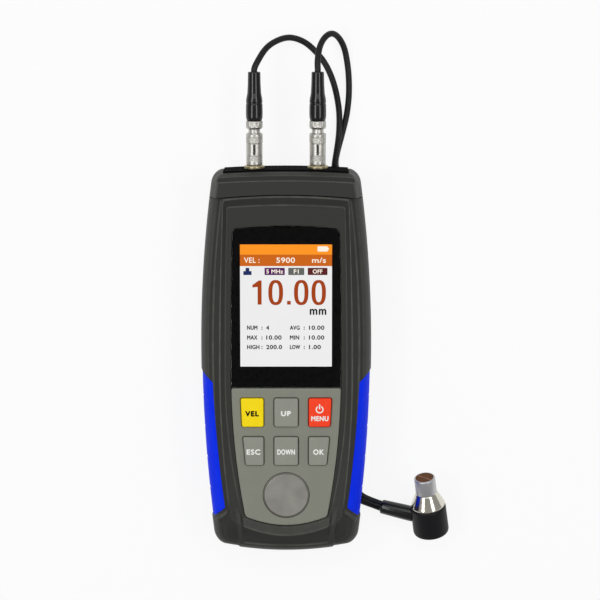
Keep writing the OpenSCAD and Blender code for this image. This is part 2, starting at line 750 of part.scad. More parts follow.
module socket() {
    body_l = 13;
    pin_r = 1.6;
    pin_l = 2.5;
    rotate_extrude() polygon([
        [bore_d / 2, 0], [flange_d / 2 - 0.2, 0], [flange_d / 2, -0.2], [flange_d / 2, -flange_t], [thread_d / 2, -flange_t],
        [thread_d / 2, -body_l], [pin_r, -body_l], [pin_r, -body_l - pin_l], [0, -body_l - pin_l],
        [0, -bore_l], [bore_d / 2, -bore_l]]);
}

module socket_left() { color("#cdb98a") end_place(-1, 0) socket(); }
module socket_right() { color("#cdb98a") end_place(1, 0) socket(); }

module socket_nuts() {
    nut_h = 2;
    color("#c2c2c2") for (side = [-1, 1]) end_place(side, nut_seat - nut_h) difference() {
        cylinder(d = nut_d, h = nut_h, $fn = 6);
        translate([0, 0, -1]) cylinder(d = thread_d + 2 * screw_clear, h = nut_h + 2);
    }
}

// Plug, along +Z from the face of its socket
core_d = 4.7;
sleeve_low = 0.2;
collet_z = sleeve_low + sleeve_l + sleeve_travel + 0.3;
boot_z = collet_z + collet_l;
stub_d = 3.4;
stub_l = 4;
slide_clear = 0.12;

module plug_core() {
    rotate_extrude() polygon([[0, -bore_l + 0.8], [core_d / 2 - 0.4, -bore_l + 0.8],
        [core_d / 2, -bore_l + 1.4], [core_d / 2, collet_z - 0.1],
        [stub_d / 2, collet_z - 0.1], [stub_d / 2, boot_z + stub_l], [0, boot_z + stub_l]]);
}

module plug_sleeve() {
    r = plug_d / 2;
    groove = 0.25;
    band = [0.7, 3.1];
    rotate_extrude() polygon(concat(
        [[core_d / 2 + slide_clear, 0], [r - 0.2, 0], [r, 0.3]],
        [for (i = [0 : 4]) let (h = band[0] + i * (band[1] - band[0]) / 5)
            each [[r, h], [r - groove, h + 0.15], [r, h + 0.3]]],
        [[r, sleeve_l * 0.62], [r - groove, sleeve_l * 0.64]],
        [[r - groove, sleeve_l * 0.7], [r, sleeve_l * 0.72], [r, sleeve_l - 0.8], [r - 0.5, sleeve_l],
         [core_d / 2 + slide_clear, sleeve_l]]));
}

module plug_collet() {
    r = plug_d / 2;
    difference() {
        cylinder(d = plug_d, h = collet_l);
        translate([0, 0, -1]) cylinder(d = stub_d + 2 * slide_clear, h = collet_l + 2);
        for (i = [0 : 11]) rotate(30 * i) translate([r, 0, -1]) cylinder(d = 0.7, h = collet_l + 2);
    }
}

module plug_boot() {
    r = plug_d / 2;
    end_r = 2.5;
    rotate_extrude() polygon([
        [stub_d / 2 + slide_clear, 0], [r - 0.35, 0], [r, 1.4], [r + 0.05, 3.5], [r, boot_l * 0.33],
        [r - 0.25, boot_l * 0.36], [r, boot_l * 0.39], [r - 0.15, boot_l * 0.46], [end_r + 0.3, boot_l * 0.56],
        [end_r + 0.1, boot_l * 0.75], [end_r, boot_l], [0, boot_l], [0, stub_l + 0.2],
        [stub_d / 2 + slide_clear, stub_l + 0.2]]);
}

module plug_core_left() { color("#c9c7bf") end_place(-1, 0) plug_core(); }
module plug_core_right() { color("#c9c7bf") end_place(1, 0) plug_core(); }
module plug_sleeve_left() { color("#c9c7bf") end_place(-1, sleeve_low) plug_sleeve(); }
module plug_sleeve_right() { color("#c9c7bf") end_place(1, sleeve_low) plug_sleeve(); }
module plug_collet_left() { color("#c9c7bf") end_place(-1, collet_z) plug_collet(); }
module plug_collet_right() { color("#c9c7bf") end_place(1, collet_z) plug_collet(); }
module plug_boot_left() { color("#17181a") end_place(-1, boot_z) plug_boot(); }
module plug_boot_right() { color("#17181a") end_place(1, boot_z) plug_boot(); }

// Leads: each route starts at the end of its boot and ends at the strain relief of the probe
left_route = [
    [-12.7, 116.3, 16], [-12.7, 117.3, 16], [-12.1, 119, 15.7], [-11, 121, 14.8], [-9.7, 123.2, 13.2],
    [-7.9, 125.6, 11.4], [-4.6, 127.9, 8.8], [1.1, 129.6, 5.2], [7, 127.8, 2.5], [10.6, 125, 1.6],
    [14.9, 120.2, 1.3], [17.6, 115.3, 1.3], [19.4, 110.5, 1.3], [20.6, 105.6, 1.3], [21.4, 100.8, 1.4],
    [21.6, 98.3, 1.8], [21.65, 96, 2.6], [21.6, 93.6, 3.3], [21.5, 91.2, 3.7], [21.3, 88.8, 3.9],
    [20.6, 83.9, 3.95], [19.8, 79, 3.95], [19.5, 76.5, 3.8], [19.5, 74.2, 3.4], [19.9, 71.8, 2.9],
    [20.8, 69, 2], [22, 66, 1.4], [24, 59.5, 1.3], [25.6, 52.5, 1.3], [26.6, 45, 1.3], [27.2, 37, 1.3],
    [27.5, 29, 1.3], [27.6, 20, 1.3], [27.6, 10, 1.3], [27.6, 0, 1.3], [27.4, -10, 1.3], [27.1, -19, 1.3],
    [26.7, -28, 1.3], [26.2, -36.5, 1.3], [25.7, -44.5, 1.3], [25.4, -52, 1.3], [25.7, -57, 1.3],
    [27.1, -60.5, 1.3], [29.2, -62.5, 1.3], [31.4, -63.4, 1.4], [34.7, -64.5, 1.95], [36.4, -65, 2.5],
    [38.95, -65.8, 3.3]];
right_route = [
    [12.7, 116.3, 16], [12.7, 117.3, 16], [12.6, 120.5, 15.4], [12.9, 123.2, 14.3], [13.3, 125.6, 13],
    [14.2, 127.9, 11.5], [15.9, 130.2, 9.8], [18.3, 131.6, 7.8], [20.8, 130, 5.4], [22.5, 127.5, 3.6],
    [23.6, 125.1, 2.5], [24.5, 120.8, 1.6], [25.2, 116, 1.3], [25.5, 111, 1.3], [25.5, 106, 1.3],
    [25.1, 101.5, 1.3], [24.65, 98.3, 1.3], [24.2, 95.9, 1.3], [23.55, 93.4, 1.3], [22.95, 91, 1.3],
    [22.3, 88.5, 1.3], [21, 83.6, 1.3], [19.95, 78.7, 1.3], [20.4, 75.5, 1.3], [21.8, 73, 1.3],
    [23.1, 70.4, 1.3], [24.8, 66.6, 1.3], [26.8, 60.2, 1.3], [28.4, 53, 1.3], [29.4, 45.3, 1.3],
    [30, 37.1, 1.3], [30.3, 29, 1.3], [30.4, 20, 1.3], [30.4, 10, 1.3], [30.4, 0, 1.3], [30.2, -10, 1.3],
    [29.9, -19, 1.3], [29.5, -27.9, 1.3], [29, -36.3, 1.3], [28.5, -44, 1.3], [28.1, -51.5, 1.3],
    [28.3, -56.3, 1.4], [29.3, -58.9, 1.8], [30.6, -60.4, 2.3], [32.1, -61.3, 2.85], [35.4, -62.5, 3.45],
    [37, -63, 3.95], [39.1, -63.58, 4.75]];

function unit(v) = v / norm(v);
function swept_ring(route, i, r, n) =
    let (t = unit(route[min(i + 1, len(route) - 1)] - route[max(i - 1, 0)]))
    let (across = unit(cross([0, 0, 1], t)))
    let (up = cross(t, across))
    [for (k = [0 : n - 1]) route[i] + r * (cos(360 * k / n) * across + sin(360 * k / n) * up)];

module tube(route, d) {
    sides = 8;
    n = len(route);
    rings = [for (i = [0 : n - 1]) each swept_ring(route, i, d / 2, sides)];
    skin = [for (i = [0 : n - 2], k = [0 : sides - 1])
            let (a = i * sides + k)
            let (b = i * sides + (k + 1) % sides)
            each [[a, a + sides, b + sides], [a, b + sides, b]]];
    polyhedron(points = rings, faces = concat([[for (k = [0 : sides - 1]) k]], skin,
               [[for (k = [sides - 1 : -1 : 0]) (n - 1) * sides + k]]));
}

module lead_left() { color("#1b1c1e") tube(left_route, lead_d); }
module lead_right() { color("#1b1c1e") tube(right_route, lead_d); }

// Probe: it lies on the edge of its cap, held at its angle by the strain relief
probe_turn = 98;
probe_lift = 17;
probe_x = 60.3;
probe_y = -75;
relief_turn = 169;
relief_drop = 12.6;
relief_h = probe_cap_h / 2;
relief_l = 20.9;
cap_edge = 1;
probe_z = (probe_d / 2 - cap_edge) * cos(probe_lift) + cap_edge * (1 - sin(probe_lift));
stem_d = probe_d - 3.6;
stem_z = 4;
shell_wall = 0.6;
block_z = probe_cap_h + 3.4;
probe_l = probe_cap_h + probe_cone_h + probe_tip_h;
barrier_t = 0.5;
barrier_turn = -44;
block_clear = 0.1;

module probe_place() {
    translate([probe_x, probe_y, probe_z]) rotate([0, 90 - probe_lift, probe_turn]) rotate(-90) children();
}

module relief_place() {
    probe_axis = [cos(probe_lift) * cos(probe_turn), cos(probe_lift) * sin(probe_turn), sin(probe_lift)];
    translate([probe_x, probe_y, probe_z] + relief_h * probe_axis)
        rotate([0, 90 + relief_drop, relief_turn]) children();
}

module probe_cap() {
    r = probe_d / 2;
    color("#1d1e20") difference() {
        probe_place() rotate_extrude() polygon(concat(
            [[0, 0]],
            [for (i = [0 : 4]) let (a = -90 + 90 * i / 4)
                [r - cap_edge + cap_edge * cos(a), cap_edge + cap_edge * sin(a)]],
            [[r - 0.1, probe_cap_h - 0.8], [r - 0.5, probe_cap_h], [stem_d / 2 + block_clear, probe_cap_h],
             [stem_d / 2 + block_clear, stem_z], [0, stem_z]]));
        relief_place() cylinder(d = relief_d + 0.2, h = 3 * r);
    }
}

relief_d = 6.4;
relief_end_d = 5.9;

module probe_relief() {
    root = stem_d / 2 + 1.2;
    lip = 0.5;
    color("#1d1e20") relief_place() translate([0, 0, root]) rotate_extrude() polygon([
        [0, 0], [relief_d / 2, 0], [relief_d / 2, 4], [relief_end_d / 2, relief_l - root - lip],
        [relief_end_d / 2 - lip, relief_l - root], [0, relief_l - root]]);
}

module probe_shell() {
    tip_r = probe_tip_d / 2;
    cone_z = probe_cap_h + 0.6;
    color("#c4c4c2") probe_place() rotate_extrude() polygon([
        [0, stem_z + 0.2], [stem_d / 2, stem_z + 0.2], [stem_d / 2, probe_cap_h + block_clear],
        [probe_d / 2 - 0.4, probe_cap_h + block_clear], [probe_d / 2 - 0.3, cone_z],
        [tip_r + 0.4, probe_cap_h + probe_cone_h - 0.6], [tip_r, probe_cap_h + probe_cone_h],
        [tip_r, probe_l - 0.3], [tip_r - 0.3, probe_l], [tip_r - shell_wall, probe_l],
        [tip_r - shell_wall, block_z], [0, block_z]]);
}

module delay_blocks() {
    r = probe_tip_d / 2 - shell_wall - block_clear;
    color("#7b4a2c") probe_place() translate([0, 0, block_z + block_clear]) difference() {
        cylinder(r = r, h = probe_l - block_z - block_clear);
        rotate(barrier_turn) translate([-r - 1, -barrier_t / 2 - block_clear, -1])
            cube([2 * r + 2, barrier_t + 2 * block_clear, probe_l]);
    }
}

module sound_barrier() {
    r = probe_tip_d / 2 - shell_wall - block_clear;
    length = 2 * r - 0.2;
    color("#b98a5a") probe_place() rotate(barrier_turn)
        translate([-length / 2, -barrier_t / 2, block_z + block_clear])
            cube([length, barrier_t, probe_l - block_z - block_clear]);
}

front_cover();
rear_cover();
top_cap();
end_plate();
window();
window_tape();
screen();
keypad_panel();
key_velocity();
key_up();
key_menu();
key_escape();
key_down();
key_ok();
zero_block();
grip_left();
grip_right();
main_board();
key_contacts();
board_screws();
case_screws();
cell_left();
cell_right();
battery_springs();
battery_plates();
battery_door();
socket_left();
socket_right();
socket_nuts();
plug_core_left();
plug_core_right();
plug_sleeve_left();
plug_sleeve_right();
plug_collet_left();
plug_collet_right();
plug_boot_left();
plug_boot_right();
lead_left();
lead_right();
probe_relief();
probe_cap();
probe_shell();
delay_blocks();
sound_barrier();
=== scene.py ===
# %% [markdown]
# # A hand-held ultrasonic thickness gauge
# The gauge is a moulded case with a colour screen, six keys, a steel zero block and two rubber grips.
# Two thin leads run from push-pull plugs to a probe. The solids of the part are loaded first and stay
# where they are. Each visible piece is then dressed: it gets a finish, or a finer surface in its place.

# %% Load the frame
import math

import bmesh
import bpy
import numpy as np
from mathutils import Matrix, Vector


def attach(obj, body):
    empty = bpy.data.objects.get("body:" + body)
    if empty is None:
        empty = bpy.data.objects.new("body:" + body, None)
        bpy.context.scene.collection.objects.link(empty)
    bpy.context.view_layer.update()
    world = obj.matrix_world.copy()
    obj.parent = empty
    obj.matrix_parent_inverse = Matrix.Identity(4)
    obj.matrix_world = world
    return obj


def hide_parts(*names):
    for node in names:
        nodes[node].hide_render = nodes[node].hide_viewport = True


bpy.ops.wm.read_factory_settings(use_empty=True)

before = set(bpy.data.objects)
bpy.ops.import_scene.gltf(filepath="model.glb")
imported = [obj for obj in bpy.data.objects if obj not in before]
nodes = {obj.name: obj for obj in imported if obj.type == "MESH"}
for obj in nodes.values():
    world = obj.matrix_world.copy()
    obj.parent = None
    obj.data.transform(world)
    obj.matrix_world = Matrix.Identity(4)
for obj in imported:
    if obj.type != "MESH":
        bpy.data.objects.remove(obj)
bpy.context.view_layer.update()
scene = bpy.context.scene
scene.view_settings.view_transform = "Standard"
MM = 0.001

# %% [markdown]
# The camera looks down on the screen from a little towards the sockets, so the socket end shows as a
# narrow band. A camera without perspective would come close, but a long lens far away keeps the slight
# narrowing of what lies deeper, as in a catalogue picture.

# %% Camera
TILT, DISTANCE, AIM_MM = math.radians(9), 0.9, (5.6, 26.0, 28.6)
SENSOR_MM, LENS_MM, NEAREST = 36, 135, 0.01
target = Vector(AIM_MM) * MM
camera = bpy.data.objects.new("camera", bpy.data.cameras.new("camera"))
camera.data.sensor_width = SENSOR_MM
camera.data.lens = LENS_MM
camera.data.clip_start = NEAREST
camera.location = target + DISTANCE * Vector((0, math.sin(TILT), math.cos(TILT)))
camera.rotation_euler = (-TILT, 0, 0)
scene.collection.objects.link(camera)
scene.camera = camera
print("camera at", [round(v, 3) for v in camera.location])

# %% [markdown]
# A few small helpers serve every piece. Colours are written as sRGB hex and turned to linear light,
# because shaders work with light and not with screen values. One function adds a shader node. The others
# put whole arrays of points into a mesh, which is much quicker than a loop over vertices, and show it.

# %% Helpers for finishes
def linear(colour):
    """Linear RGBA of an sRGB hex colour: c / 12.92 in the dark part, ((c + 0.055) / 1.055)^2.4 above it."""
    c = np.array([int(colour[i:i + 2], 16) for i in (1, 3, 5)]) / 255
    c = np.where(c <= 0.04045, c / 12.92, ((c + 0.055) / 1.055) ** 2.4)
    return (*c.tolist(), 1.0)


def add(tree, kind, links=None, **settings):
    """Add a node, set its properties, and fill its sockets with values or with links from other nodes."""
    node = tree.nodes.new(kind)
    for key, value in settings.items():
        setattr(node, key, value)
    for socket, value in (links or {}).items():
        if isinstance(value, bpy.types.NodeSocket):
            tree.links.new(value, node.inputs[socket])
        else:
            node.inputs[socket].default_value = value
    return node


def finish(name, colour, roughness, **sockets):
    """A material with one Principled shader: its colour, its roughness and any other socket by name."""
    made = bpy.data.materials.new(name)
    made.use_nodes = True
    shader = made.node_tree.nodes["Principled BSDF"]
    shader.inputs["Base Color"].default_value = linear(colour)
    shader.inputs["Roughness"].default_value = roughness
    for socket, value in sockets.items():
        shader.inputs[socket.replace("_", " ")].default_value = value
    return made, made.node_tree, shader


# %% Helpers for meshes
# Points closer than the first length, in metres, are one point; an edge shorter than the second is none.
SAME_PLACE, NO_LENGTH = 2e-6, 1e-7


def new_mesh(name, points, faces):
    """A mesh from an array of points in millimetres and a list of arrays of faces, of any one length each."""
    sizes = np.concatenate([np.full(len(f), f.shape[1]) for f in faces])
    starts = np.concatenate([[0], np.cumsum(sizes)[:-1]])
    corners = np.concatenate([f.ravel() for f in faces])
    mesh = bpy.data.meshes.new(name)
    mesh.vertices.add(len(points))
    mesh.vertices.foreach_set("co", (np.asarray(points, float) * MM).ravel())
    mesh.loops.add(len(corners))
    mesh.loops.foreach_set("vertex_index", corners.astype(np.int32))
    mesh.polygons.add(len(sizes))
    mesh.polygons.foreach_set("loop_start", starts.astype(np.int32))
    mesh.update(calc_edges=True)
    return mesh


def grid_faces(rows, columns, wrap_rows=False, wrap_columns=False):
    """Quads of a grid of points numbered row by row; a wrapped direction joins its last line to its first."""
    i, j = np.meshgrid(np.arange(rows if wrap_rows else rows - 1),
                       np.arange(columns if wrap_columns else columns - 1), indexing="ij")
    i2, j2 = (i + 1) % rows, (j + 1) % columns
    corners = [i * columns + j, i * columns + j2, i2 * columns + j2, i2 * columns + j]
    return np.stack(corners, -1).reshape(-1, 4)


def capped(rows):
    """Points and faces of a stack of closed rows, with a flat face on its first row and one on its last."""
    count, n = rows.shape[:2]
    return rows.reshape(-1, 3), [grid_faces(count, n, wrap_columns=True), np.arange(n)[None, ::-1],
                                 ((count - 1) * n + np.arange(n))[None]]


def closed_mesh(name, points, faces, **values):
    """A mesh with values kept as attributes of its points. Points that fall together at poles and seams are
    merged, and all faces are turned outwards."""
    mesh = new_mesh(name, points, faces)
    for key, value in values.items():
        mesh.attributes.new(key, "FLOAT", "POINT").data.foreach_set("value", value.ravel())
    work = bmesh.new()
    work.from_mesh(mesh)
    bmesh.ops.remove_doubles(work, verts=work.verts, dist=SAME_PLACE)
    bmesh.ops.dissolve_degenerate(work, edges=work.edges, dist=NO_LENGTH)
    bmesh.ops.recalc_face_normals(work, faces=work.faces)
    work.to_mesh(mesh)
    work.free()
    return mesh


def piece(name, mesh, made, body, replaced=(), sharp=32):
    """Show a mesh as a piece: smooth apart from edges over the sharp angle, riding on a body."""
    mesh.polygons.foreach_set("use_smooth", np.ones(len(mesh.polygons), bool))
    mesh.set_sharp_from_angle(angle=math.radians(sharp))
    mesh.materials.clear()
    mesh.materials.append(made)
    shown = bpy.data.objects.new(name, mesh)
    scene.collection.objects.link(shown)
    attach(shown, body)
    if replaced:
        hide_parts(*replaced)
    return shown


# %% [markdown]
# Black rubber and soft PVC are extruded or moulded with a fine skin. Both are dark, so what the eye sees
# is the soft highlight along a curve, and a faint grain breaks that highlight up. A picture of the skin
# could be wrapped round each piece, but noise on Object coordinates needs no file and no unwrapping.

# %% Rubber and PVC
# The cloud that varies a colour is this many times as wide as the grain.
CLOUD = 14


def object_grain(tree, size_mm, detail=3.0, stretch=(1, 1, 1)):
    """Noise on Object coordinates with one spot about size_mm wide, and longer where stretch is below 1."""
    place = add(tree, "ShaderNodeTexCoord")
    drawn = add(tree, "ShaderNodeMapping", {"Vector": place.outputs["Object"], "Scale": stretch})
    return add(tree, "ShaderNodeTexNoise",
               {"Vector": drawn.outputs["Vector"], "Scale": 1 / (size_mm * MM), "Detail": detail})


def roughen(tree, shader, grain, low, high, height_mm):
    """Let a grain take the roughness from low to high and lift the surface by up to height_mm."""
    rough = add(tree, "ShaderNodeMapRange", {"Value": grain.outputs["Fac"], "To Min": low, "To Max": high})
    tree.links.new(rough.outputs["Result"], shader.inputs["Roughness"])
    bump = add(tree, "ShaderNodeBump",
               {"Height": grain.outputs["Fac"], "Distance": height_mm * MM, "Strength": 1.0})
    tree.links.new(bump.outputs["Normal"], shader.inputs["Normal"])


def grained(name, colour, roughness, size_mm, height_mm, spread=0.12, tone="", stretch=(1, 1, 1), **sockets):
    """A finish whose grain lifts the surface, varies its roughness by spread and its colour up to tone."""
    made, tree, shader = finish(name, colour, roughness, **sockets)
    grain = object_grain(tree, size_mm, stretch=stretch)
    roughen(tree, shader, grain, roughness - spread, roughness + spread, height_mm)
    if tone:
        cloud = object_grain(tree, size_mm * CLOUD, detail=2.0, stretch=stretch)
        mixed = add(tree, "ShaderNodeMix", {"Factor": cloud.outputs["Fac"], 6: linear(colour), 7: linear(tone)},
                    data_type="RGBA")
        tree.links.new(mixed.outputs[2], shader.inputs["Base Color"])
    return made


# Soft PVC jacket, extruded: nearly black, with a long satin highlight.
pvc_jacket = grained("pvc_jacket_black", "#0f1010", 0.5, 0.5, 0.01, tone="#141515", Specular_IOR_Level=0.35)
# Moulded rubber of the boots: black, glossier than the jacket.
boot_rubber = grained("boot_rubber_black", "#060708", 0.15, 0.6, 0.003, spread=0.05, tone="#0c0d0e")
# Moulded rubber of the probe cap: black, with a duller skin.
cap_rubber = grained("cap_rubber_black", "#0b0b0e", 0.5, 0.6, 0.015, tone="#101014", Specular_IOR_Level=0.25)
print("black finishes:", pvc_jacket.name, boot_rubber.name, cap_rubber.name)

# %% [markdown]
# ## Floor and light
# The gauge lies on a plain pale floor. A floor lit up to white would need so much light that the case
# would fade. So, seen by the camera, by mirrors and through glass, the floor is mostly white of its own,
# with enough of its lit colour left to keep the shadow.

# %% Floor
FLOOR_HALF, FLOOR_GLOW = 900, 0.88
corners = np.array([(-1, -1, 0), (1, -1, 0), (1, 1, 0), (-1, 1, 0)]) * FLOOR_HALF
floor_mesh = new_mesh("floor", corners, [np.arange(4)[None]])
floor = bpy.data.objects.new("floor", floor_mesh)
scene.collection.objects.link(floor)
floor_paint = bpy.data.materials.new("matt_white_paper")
floor_paint.use_nodes = True
tree = floor_paint.node_tree
tree.nodes.clear()
seen = add(tree, "ShaderNodeLightPath")
first = add(tree, "ShaderNodeMath", {0: seen.outputs["Is Camera Ray"], 1: seen.outputs["Is Glossy Ray"]},
            operation="MAXIMUM")
either = add(tree, "ShaderNodeMath", {0: first.outputs[0], 1: seen.outputs["Is Transmission Ray"]},
             operation="MAXIMUM")
share = add(tree, "ShaderNodeMath", {0: either.outputs[0], 1: FLOOR_GLOW}, operation="MULTIPLY")
paper = add(tree, "ShaderNodeBsdfDiffuse", {"Color": linear("#f2f2f2")})
glow = add(tree, "ShaderNodeEmission", {"Color": linear("#ffffff"), "Strength": 1.0})
both = add(tree, "ShaderNodeMixShader", {0: share.outputs[0], 1: paper.outputs[0], 2: glow.outputs[0]})
add(tree, "ShaderNodeOutputMaterial", {"Surface": both.outputs[0]})
floor_mesh.materials.append(floor_paint)
print("floor side:", 2 * FLOOR_HALF * MM, "m")

# %% [markdown]
# A long soft box on each side, a weaker lamp behind the sockets and a dim world light the object. One big
# lamp overhead would be simpler, but its reflection would lie as a grey haze over the window and the keys.
# The boxes are narrow across the gauge and stand well to the side, so the flat front stays clear of them.

# %% Lamps
WORLD_LEVEL = 0.35
BOX_AIM, BOX_LONG, BOX_WIDE = (0, 0.02, 0), 0.7, 0.22
world = bpy.data.worlds.new("studio")
scene.world = world
world.use_nodes = True
world.node_tree.nodes["Background"].inputs["Color"].default_value = linear("#ffffff")
world.node_tree.nodes["Background"].inputs["Strength"].default_value = WORLD_LEVEL


def lamp(name, place, aim, long, wide, power):
    """An oblong area lamp at place, turned to aim; sizes in metres, power in watts."""
    data = bpy.data.lights.new(name, "AREA")
    data.shape, data.size, data.size_y = "RECTANGLE", long, wide
    data.energy = power
    shown = bpy.data.objects.new(name, data)
    shown.location = place
    shown.rotation_euler = (Vector(aim) - Vector(place)).to_track_quat("-Z", "Y").to_euler()
    scene.collection.objects.link(shown)


for name, x, power in (("left_box", -0.46, 2.4), ("right_box", 0.46, 1.85)):
    lamp(name, (x, 0.1, 0.74), BOX_AIM, BOX_LONG, BOX_WIDE, power)
lamp("overhead", (0.0, 0.5, 0.7), (0, 0, 0), 0.5, 0.5, 1.0)

# %% [markdown]
# ## Case
# The case is moulded in three shells: a front cover, a rear cover and a cap over the socket end. All three
# follow one body, so the body is drawn once as rings round the case, from the flat back up over the flanks
# to the sunk front panel. A box with subdivided and pulled faces would look alike, but rings keep every
# bow and arch at its own radius. Each ring is half a rounded rectangle with bowed sides and arched ends,
# and its mirror image.

# %% Rings round the case
CASE_TOP, CASE_BOTTOM, CASE_HALF = 78.2, -78.8, 34.6
PART_Z, CREST_Z, PANEL_Z, LEDGE_Z, ROOF_Z = 15.0, 30.0, 28.6, 26.5, 25.5
# Points along half an end, a corner and a side of a ring.
ENDS, CORNER, SIDE = 64, 10, 120
# Place of the waist along y and the bow radius above and below it, on the flanks and on the front panel.
FLANK_BOW, PANEL_BOW = (5, 505, 600), (-6, 2600, 300)
# Half width of the recess for window and keypad, width of the ledge in it, and an arch with no bend.
RECESS_HALF, LEDGE_W, STRAIGHT = 22.3, 2.6, 1e6


def unit(v):
    """Vectors of length one along the last axis."""
    return v / np.maximum(np.linalg.norm(v, axis=-1, keepdims=True), 1e-12)


def smooth_path(points, steps):
    """Cubic curve through the points whose slope at each is half the way between its two neighbours."""
    p = np.vstack([2 * points[0] - points[1], points, 2 * points[-1] - points[-2]])
    t = np.linspace(0, 1, steps, endpoint=False)[None, :, None]
    a, b, c, d = (p[k:len(p) - 3 + k, None, :] for k in range(4))
    curve = 0.5 * (2 * b + (c - a) * t + (2 * a - 5 * b + 4 * c - d) * t ** 2
                   + (3 * b - a - 3 * c + d) * t ** 3)
    return np.vstack([curve.reshape(-1, 3), points[-1]])


def half_outline(hw, top, bottom, rt, rb):
    """Half a rounded rectangle, from the middle of its lower edge to the middle of its upper edge.
    The third value is an end weight, -1 on the lower edge, 0 on the side and 1 on the upper edge."""
    low = np.radians(np.linspace(-90, 0, CORNER + 1))
    high = np.radians(np.linspace(0, 90, CORNER + 1))
    run = np.linspace(0, 1, SIDE + 1)[1:-1] ** 1.25
    end = np.arange(ENDS) / ENDS
    x = np.concatenate([(hw - rb) * end, hw - rb + rb * np.cos(low), np.full(SIDE - 1, hw),
                        hw - rt + rt * np.cos(high), (hw - rt) * end[::-1]])
    y = np.concatenate([np.full(ENDS, bottom), bottom + rb + rb * np.sin(low),
                        bottom + rb + (top - rt - bottom - rb) * run, top - rt + rt * np.sin(high),
                        np.full(ENDS, top)])
    weight = np.concatenate([np.full(ENDS, -1.0), np.linspace(-1, 0, CORNER + 1), np.zeros(SIDE - 1),
                             np.linspace(0, 1, CORNER + 1), np.full(ENDS, 1.0)])
    return x, y, weight


def bow(hw, y, waist, up_r, down_r):
    """Half width at y of a side bowed with one radius above its waist and another below it."""
    return hw - (y - waist) ** 2 / (2 * np.where(y > waist, up_r, down_r))


def ring(hw, top, bottom, rt, rb, z, z_top, z_bottom, waist, up_r, down_r, arch_t, arch_b):
    """Closed ring: x is scaled to the bow, y falls by x^2 / 2R at the ends, z goes from end to end."""
    px, py, weight = half_outline(hw, top, bottom, rt, rb)
    mid = (top + bottom) / 2
    x = px * bow(hw, py, waist, up_r, down_r) / hw
    fall = np.clip((py - mid) / (top - rt - mid), 0, 1) * x * x / (2 * arch_t)
    rise = np.clip((py - mid) / (bottom + rb - mid), 0, 1) * x * x / (2 * arch_b)
    y = py - fall + rise
    height = z + np.maximum(weight, 0) * (z_top - z) + np.maximum(-weight, 0) * (z_bottom - z)
    half = np.stack([px * bow(hw, y, waist, up_r, down_r) / hw, y, height], -1)
    return np.vstack([half, half[-2:0:-1] * (-1, 1, 1)])


def case_ring(inset, z, top_in, bottom_in, rt=5.0, rb=4.0, z_top=None, z_bottom=None):
    """A ring of the case's outline, drawn in by inset on the flanks and by its own amount at each end."""
    return ring(CASE_HALF - inset, CASE_TOP - top_in, CASE_BOTTOM + bottom_in, rt, rb, z,
                z if z_top is None else z_top, z if z_bottom is None else z_bottom, *FLANK_BOW, 420, 130)


def panel_ring(gap, z, hw, top, bottom, rt, rb, arch_t=180, arch_b=36):
    """A level ring on the front panel, drawn in by gap all round."""
    return ring(hw - gap, top - gap, bottom + gap, rt, rb, z, z, z, *PANEL_BOW, arch_t, arch_b)


def recess_ring(gap, z):
    """The outline of the recess for window and keypad."""
    return panel_ring(gap, z, RECESS_HALF, 56, -67, 2.2, 1.2)


back_rings = [case_ring(11.5, 0, 18.5, 14, 6, 6), case_ring(1.2, 9.5, 1.2, 1.2, z_top=6.2),
              case_ring(0.2, 12.45, 0.3, 0.3), case_ring(0, PART_Z, 0, 0)]
front_rings = [case_ring(0.1, 19, 0.1, 0.2), case_ring(0.8, 23, 0.5, 0.7), case_ring(2, 25.4, 1.0, 1.5),
               case_ring(3.2, 27, 1.7, 2.5), case_ring(5.2, 28.4, 2.8, 3.8, 3, 3, 28.8, 27.8),
               ring(26.6, 67.6, -70.6, 0.8, 3, CREST_Z, CREST_Z, CREST_Z - 0.4, -6, 1600, 410, 230, 37),
               ring(24.4, 64.2, -67.5, 0.8, 1.5, PANEL_Z, PANEL_Z, PANEL_Z, -6, 2500, 244, 280, 36)]
cap_rings = [case_ring(0.1, 19, 0.1, 0.2), case_ring(0.7, 23, 0.7, 0.7), case_ring(1.5, 25.4, 1.2, 1.5, 3, 3),
             case_ring(2.3, 28.1, 2.3, 2.5, 1.2, 3), case_ring(3, 29.8, 4.2, 3.8, 0.4, 3),
             case_ring(3.6, 29.8, 4.8, 4.4, 0.4, 3)]
recess_rings = [recess_ring(0, PANEL_Z), recess_ring(0, LEDGE_Z), recess_ring(LEDGE_W, LEDGE_Z)]
print("ring points:", len(back_rings[0]))

# %% [markdown]
# A moulded edge is never quite sharp. A bevel on the finished mesh could soften it, but would trip over the
# many short edges of a Boolean cut. Each ring is therefore rounded before any cut: the profile leaves its
# straight run a little before the ring and joins the next run a little after it, on a short curve.

# %% Rounded skin
def cut_back(p, before, after, radius):
    """Where a curve leaves and joins the runs on both sides of corner p: radius away, but never further than
    45 percent of the shorter run."""
    shorter = np.minimum(np.linalg.norm(before, axis=-1), np.linalg.norm(after, axis=-1))
    reach = np.minimum(radius, 0.45 * shorter)[..., None]
    return p + reach * unit(before), p + reach * unit(after)


def turn(a, p, b, t):
    """Points on the curve from a to b that turns at corner p: (1-t)^2 a + 2t(1-t) p + t^2 b."""
    return (1 - t) ** 2 * a + 2 * t * (1 - t) * p + t ** 2 * b


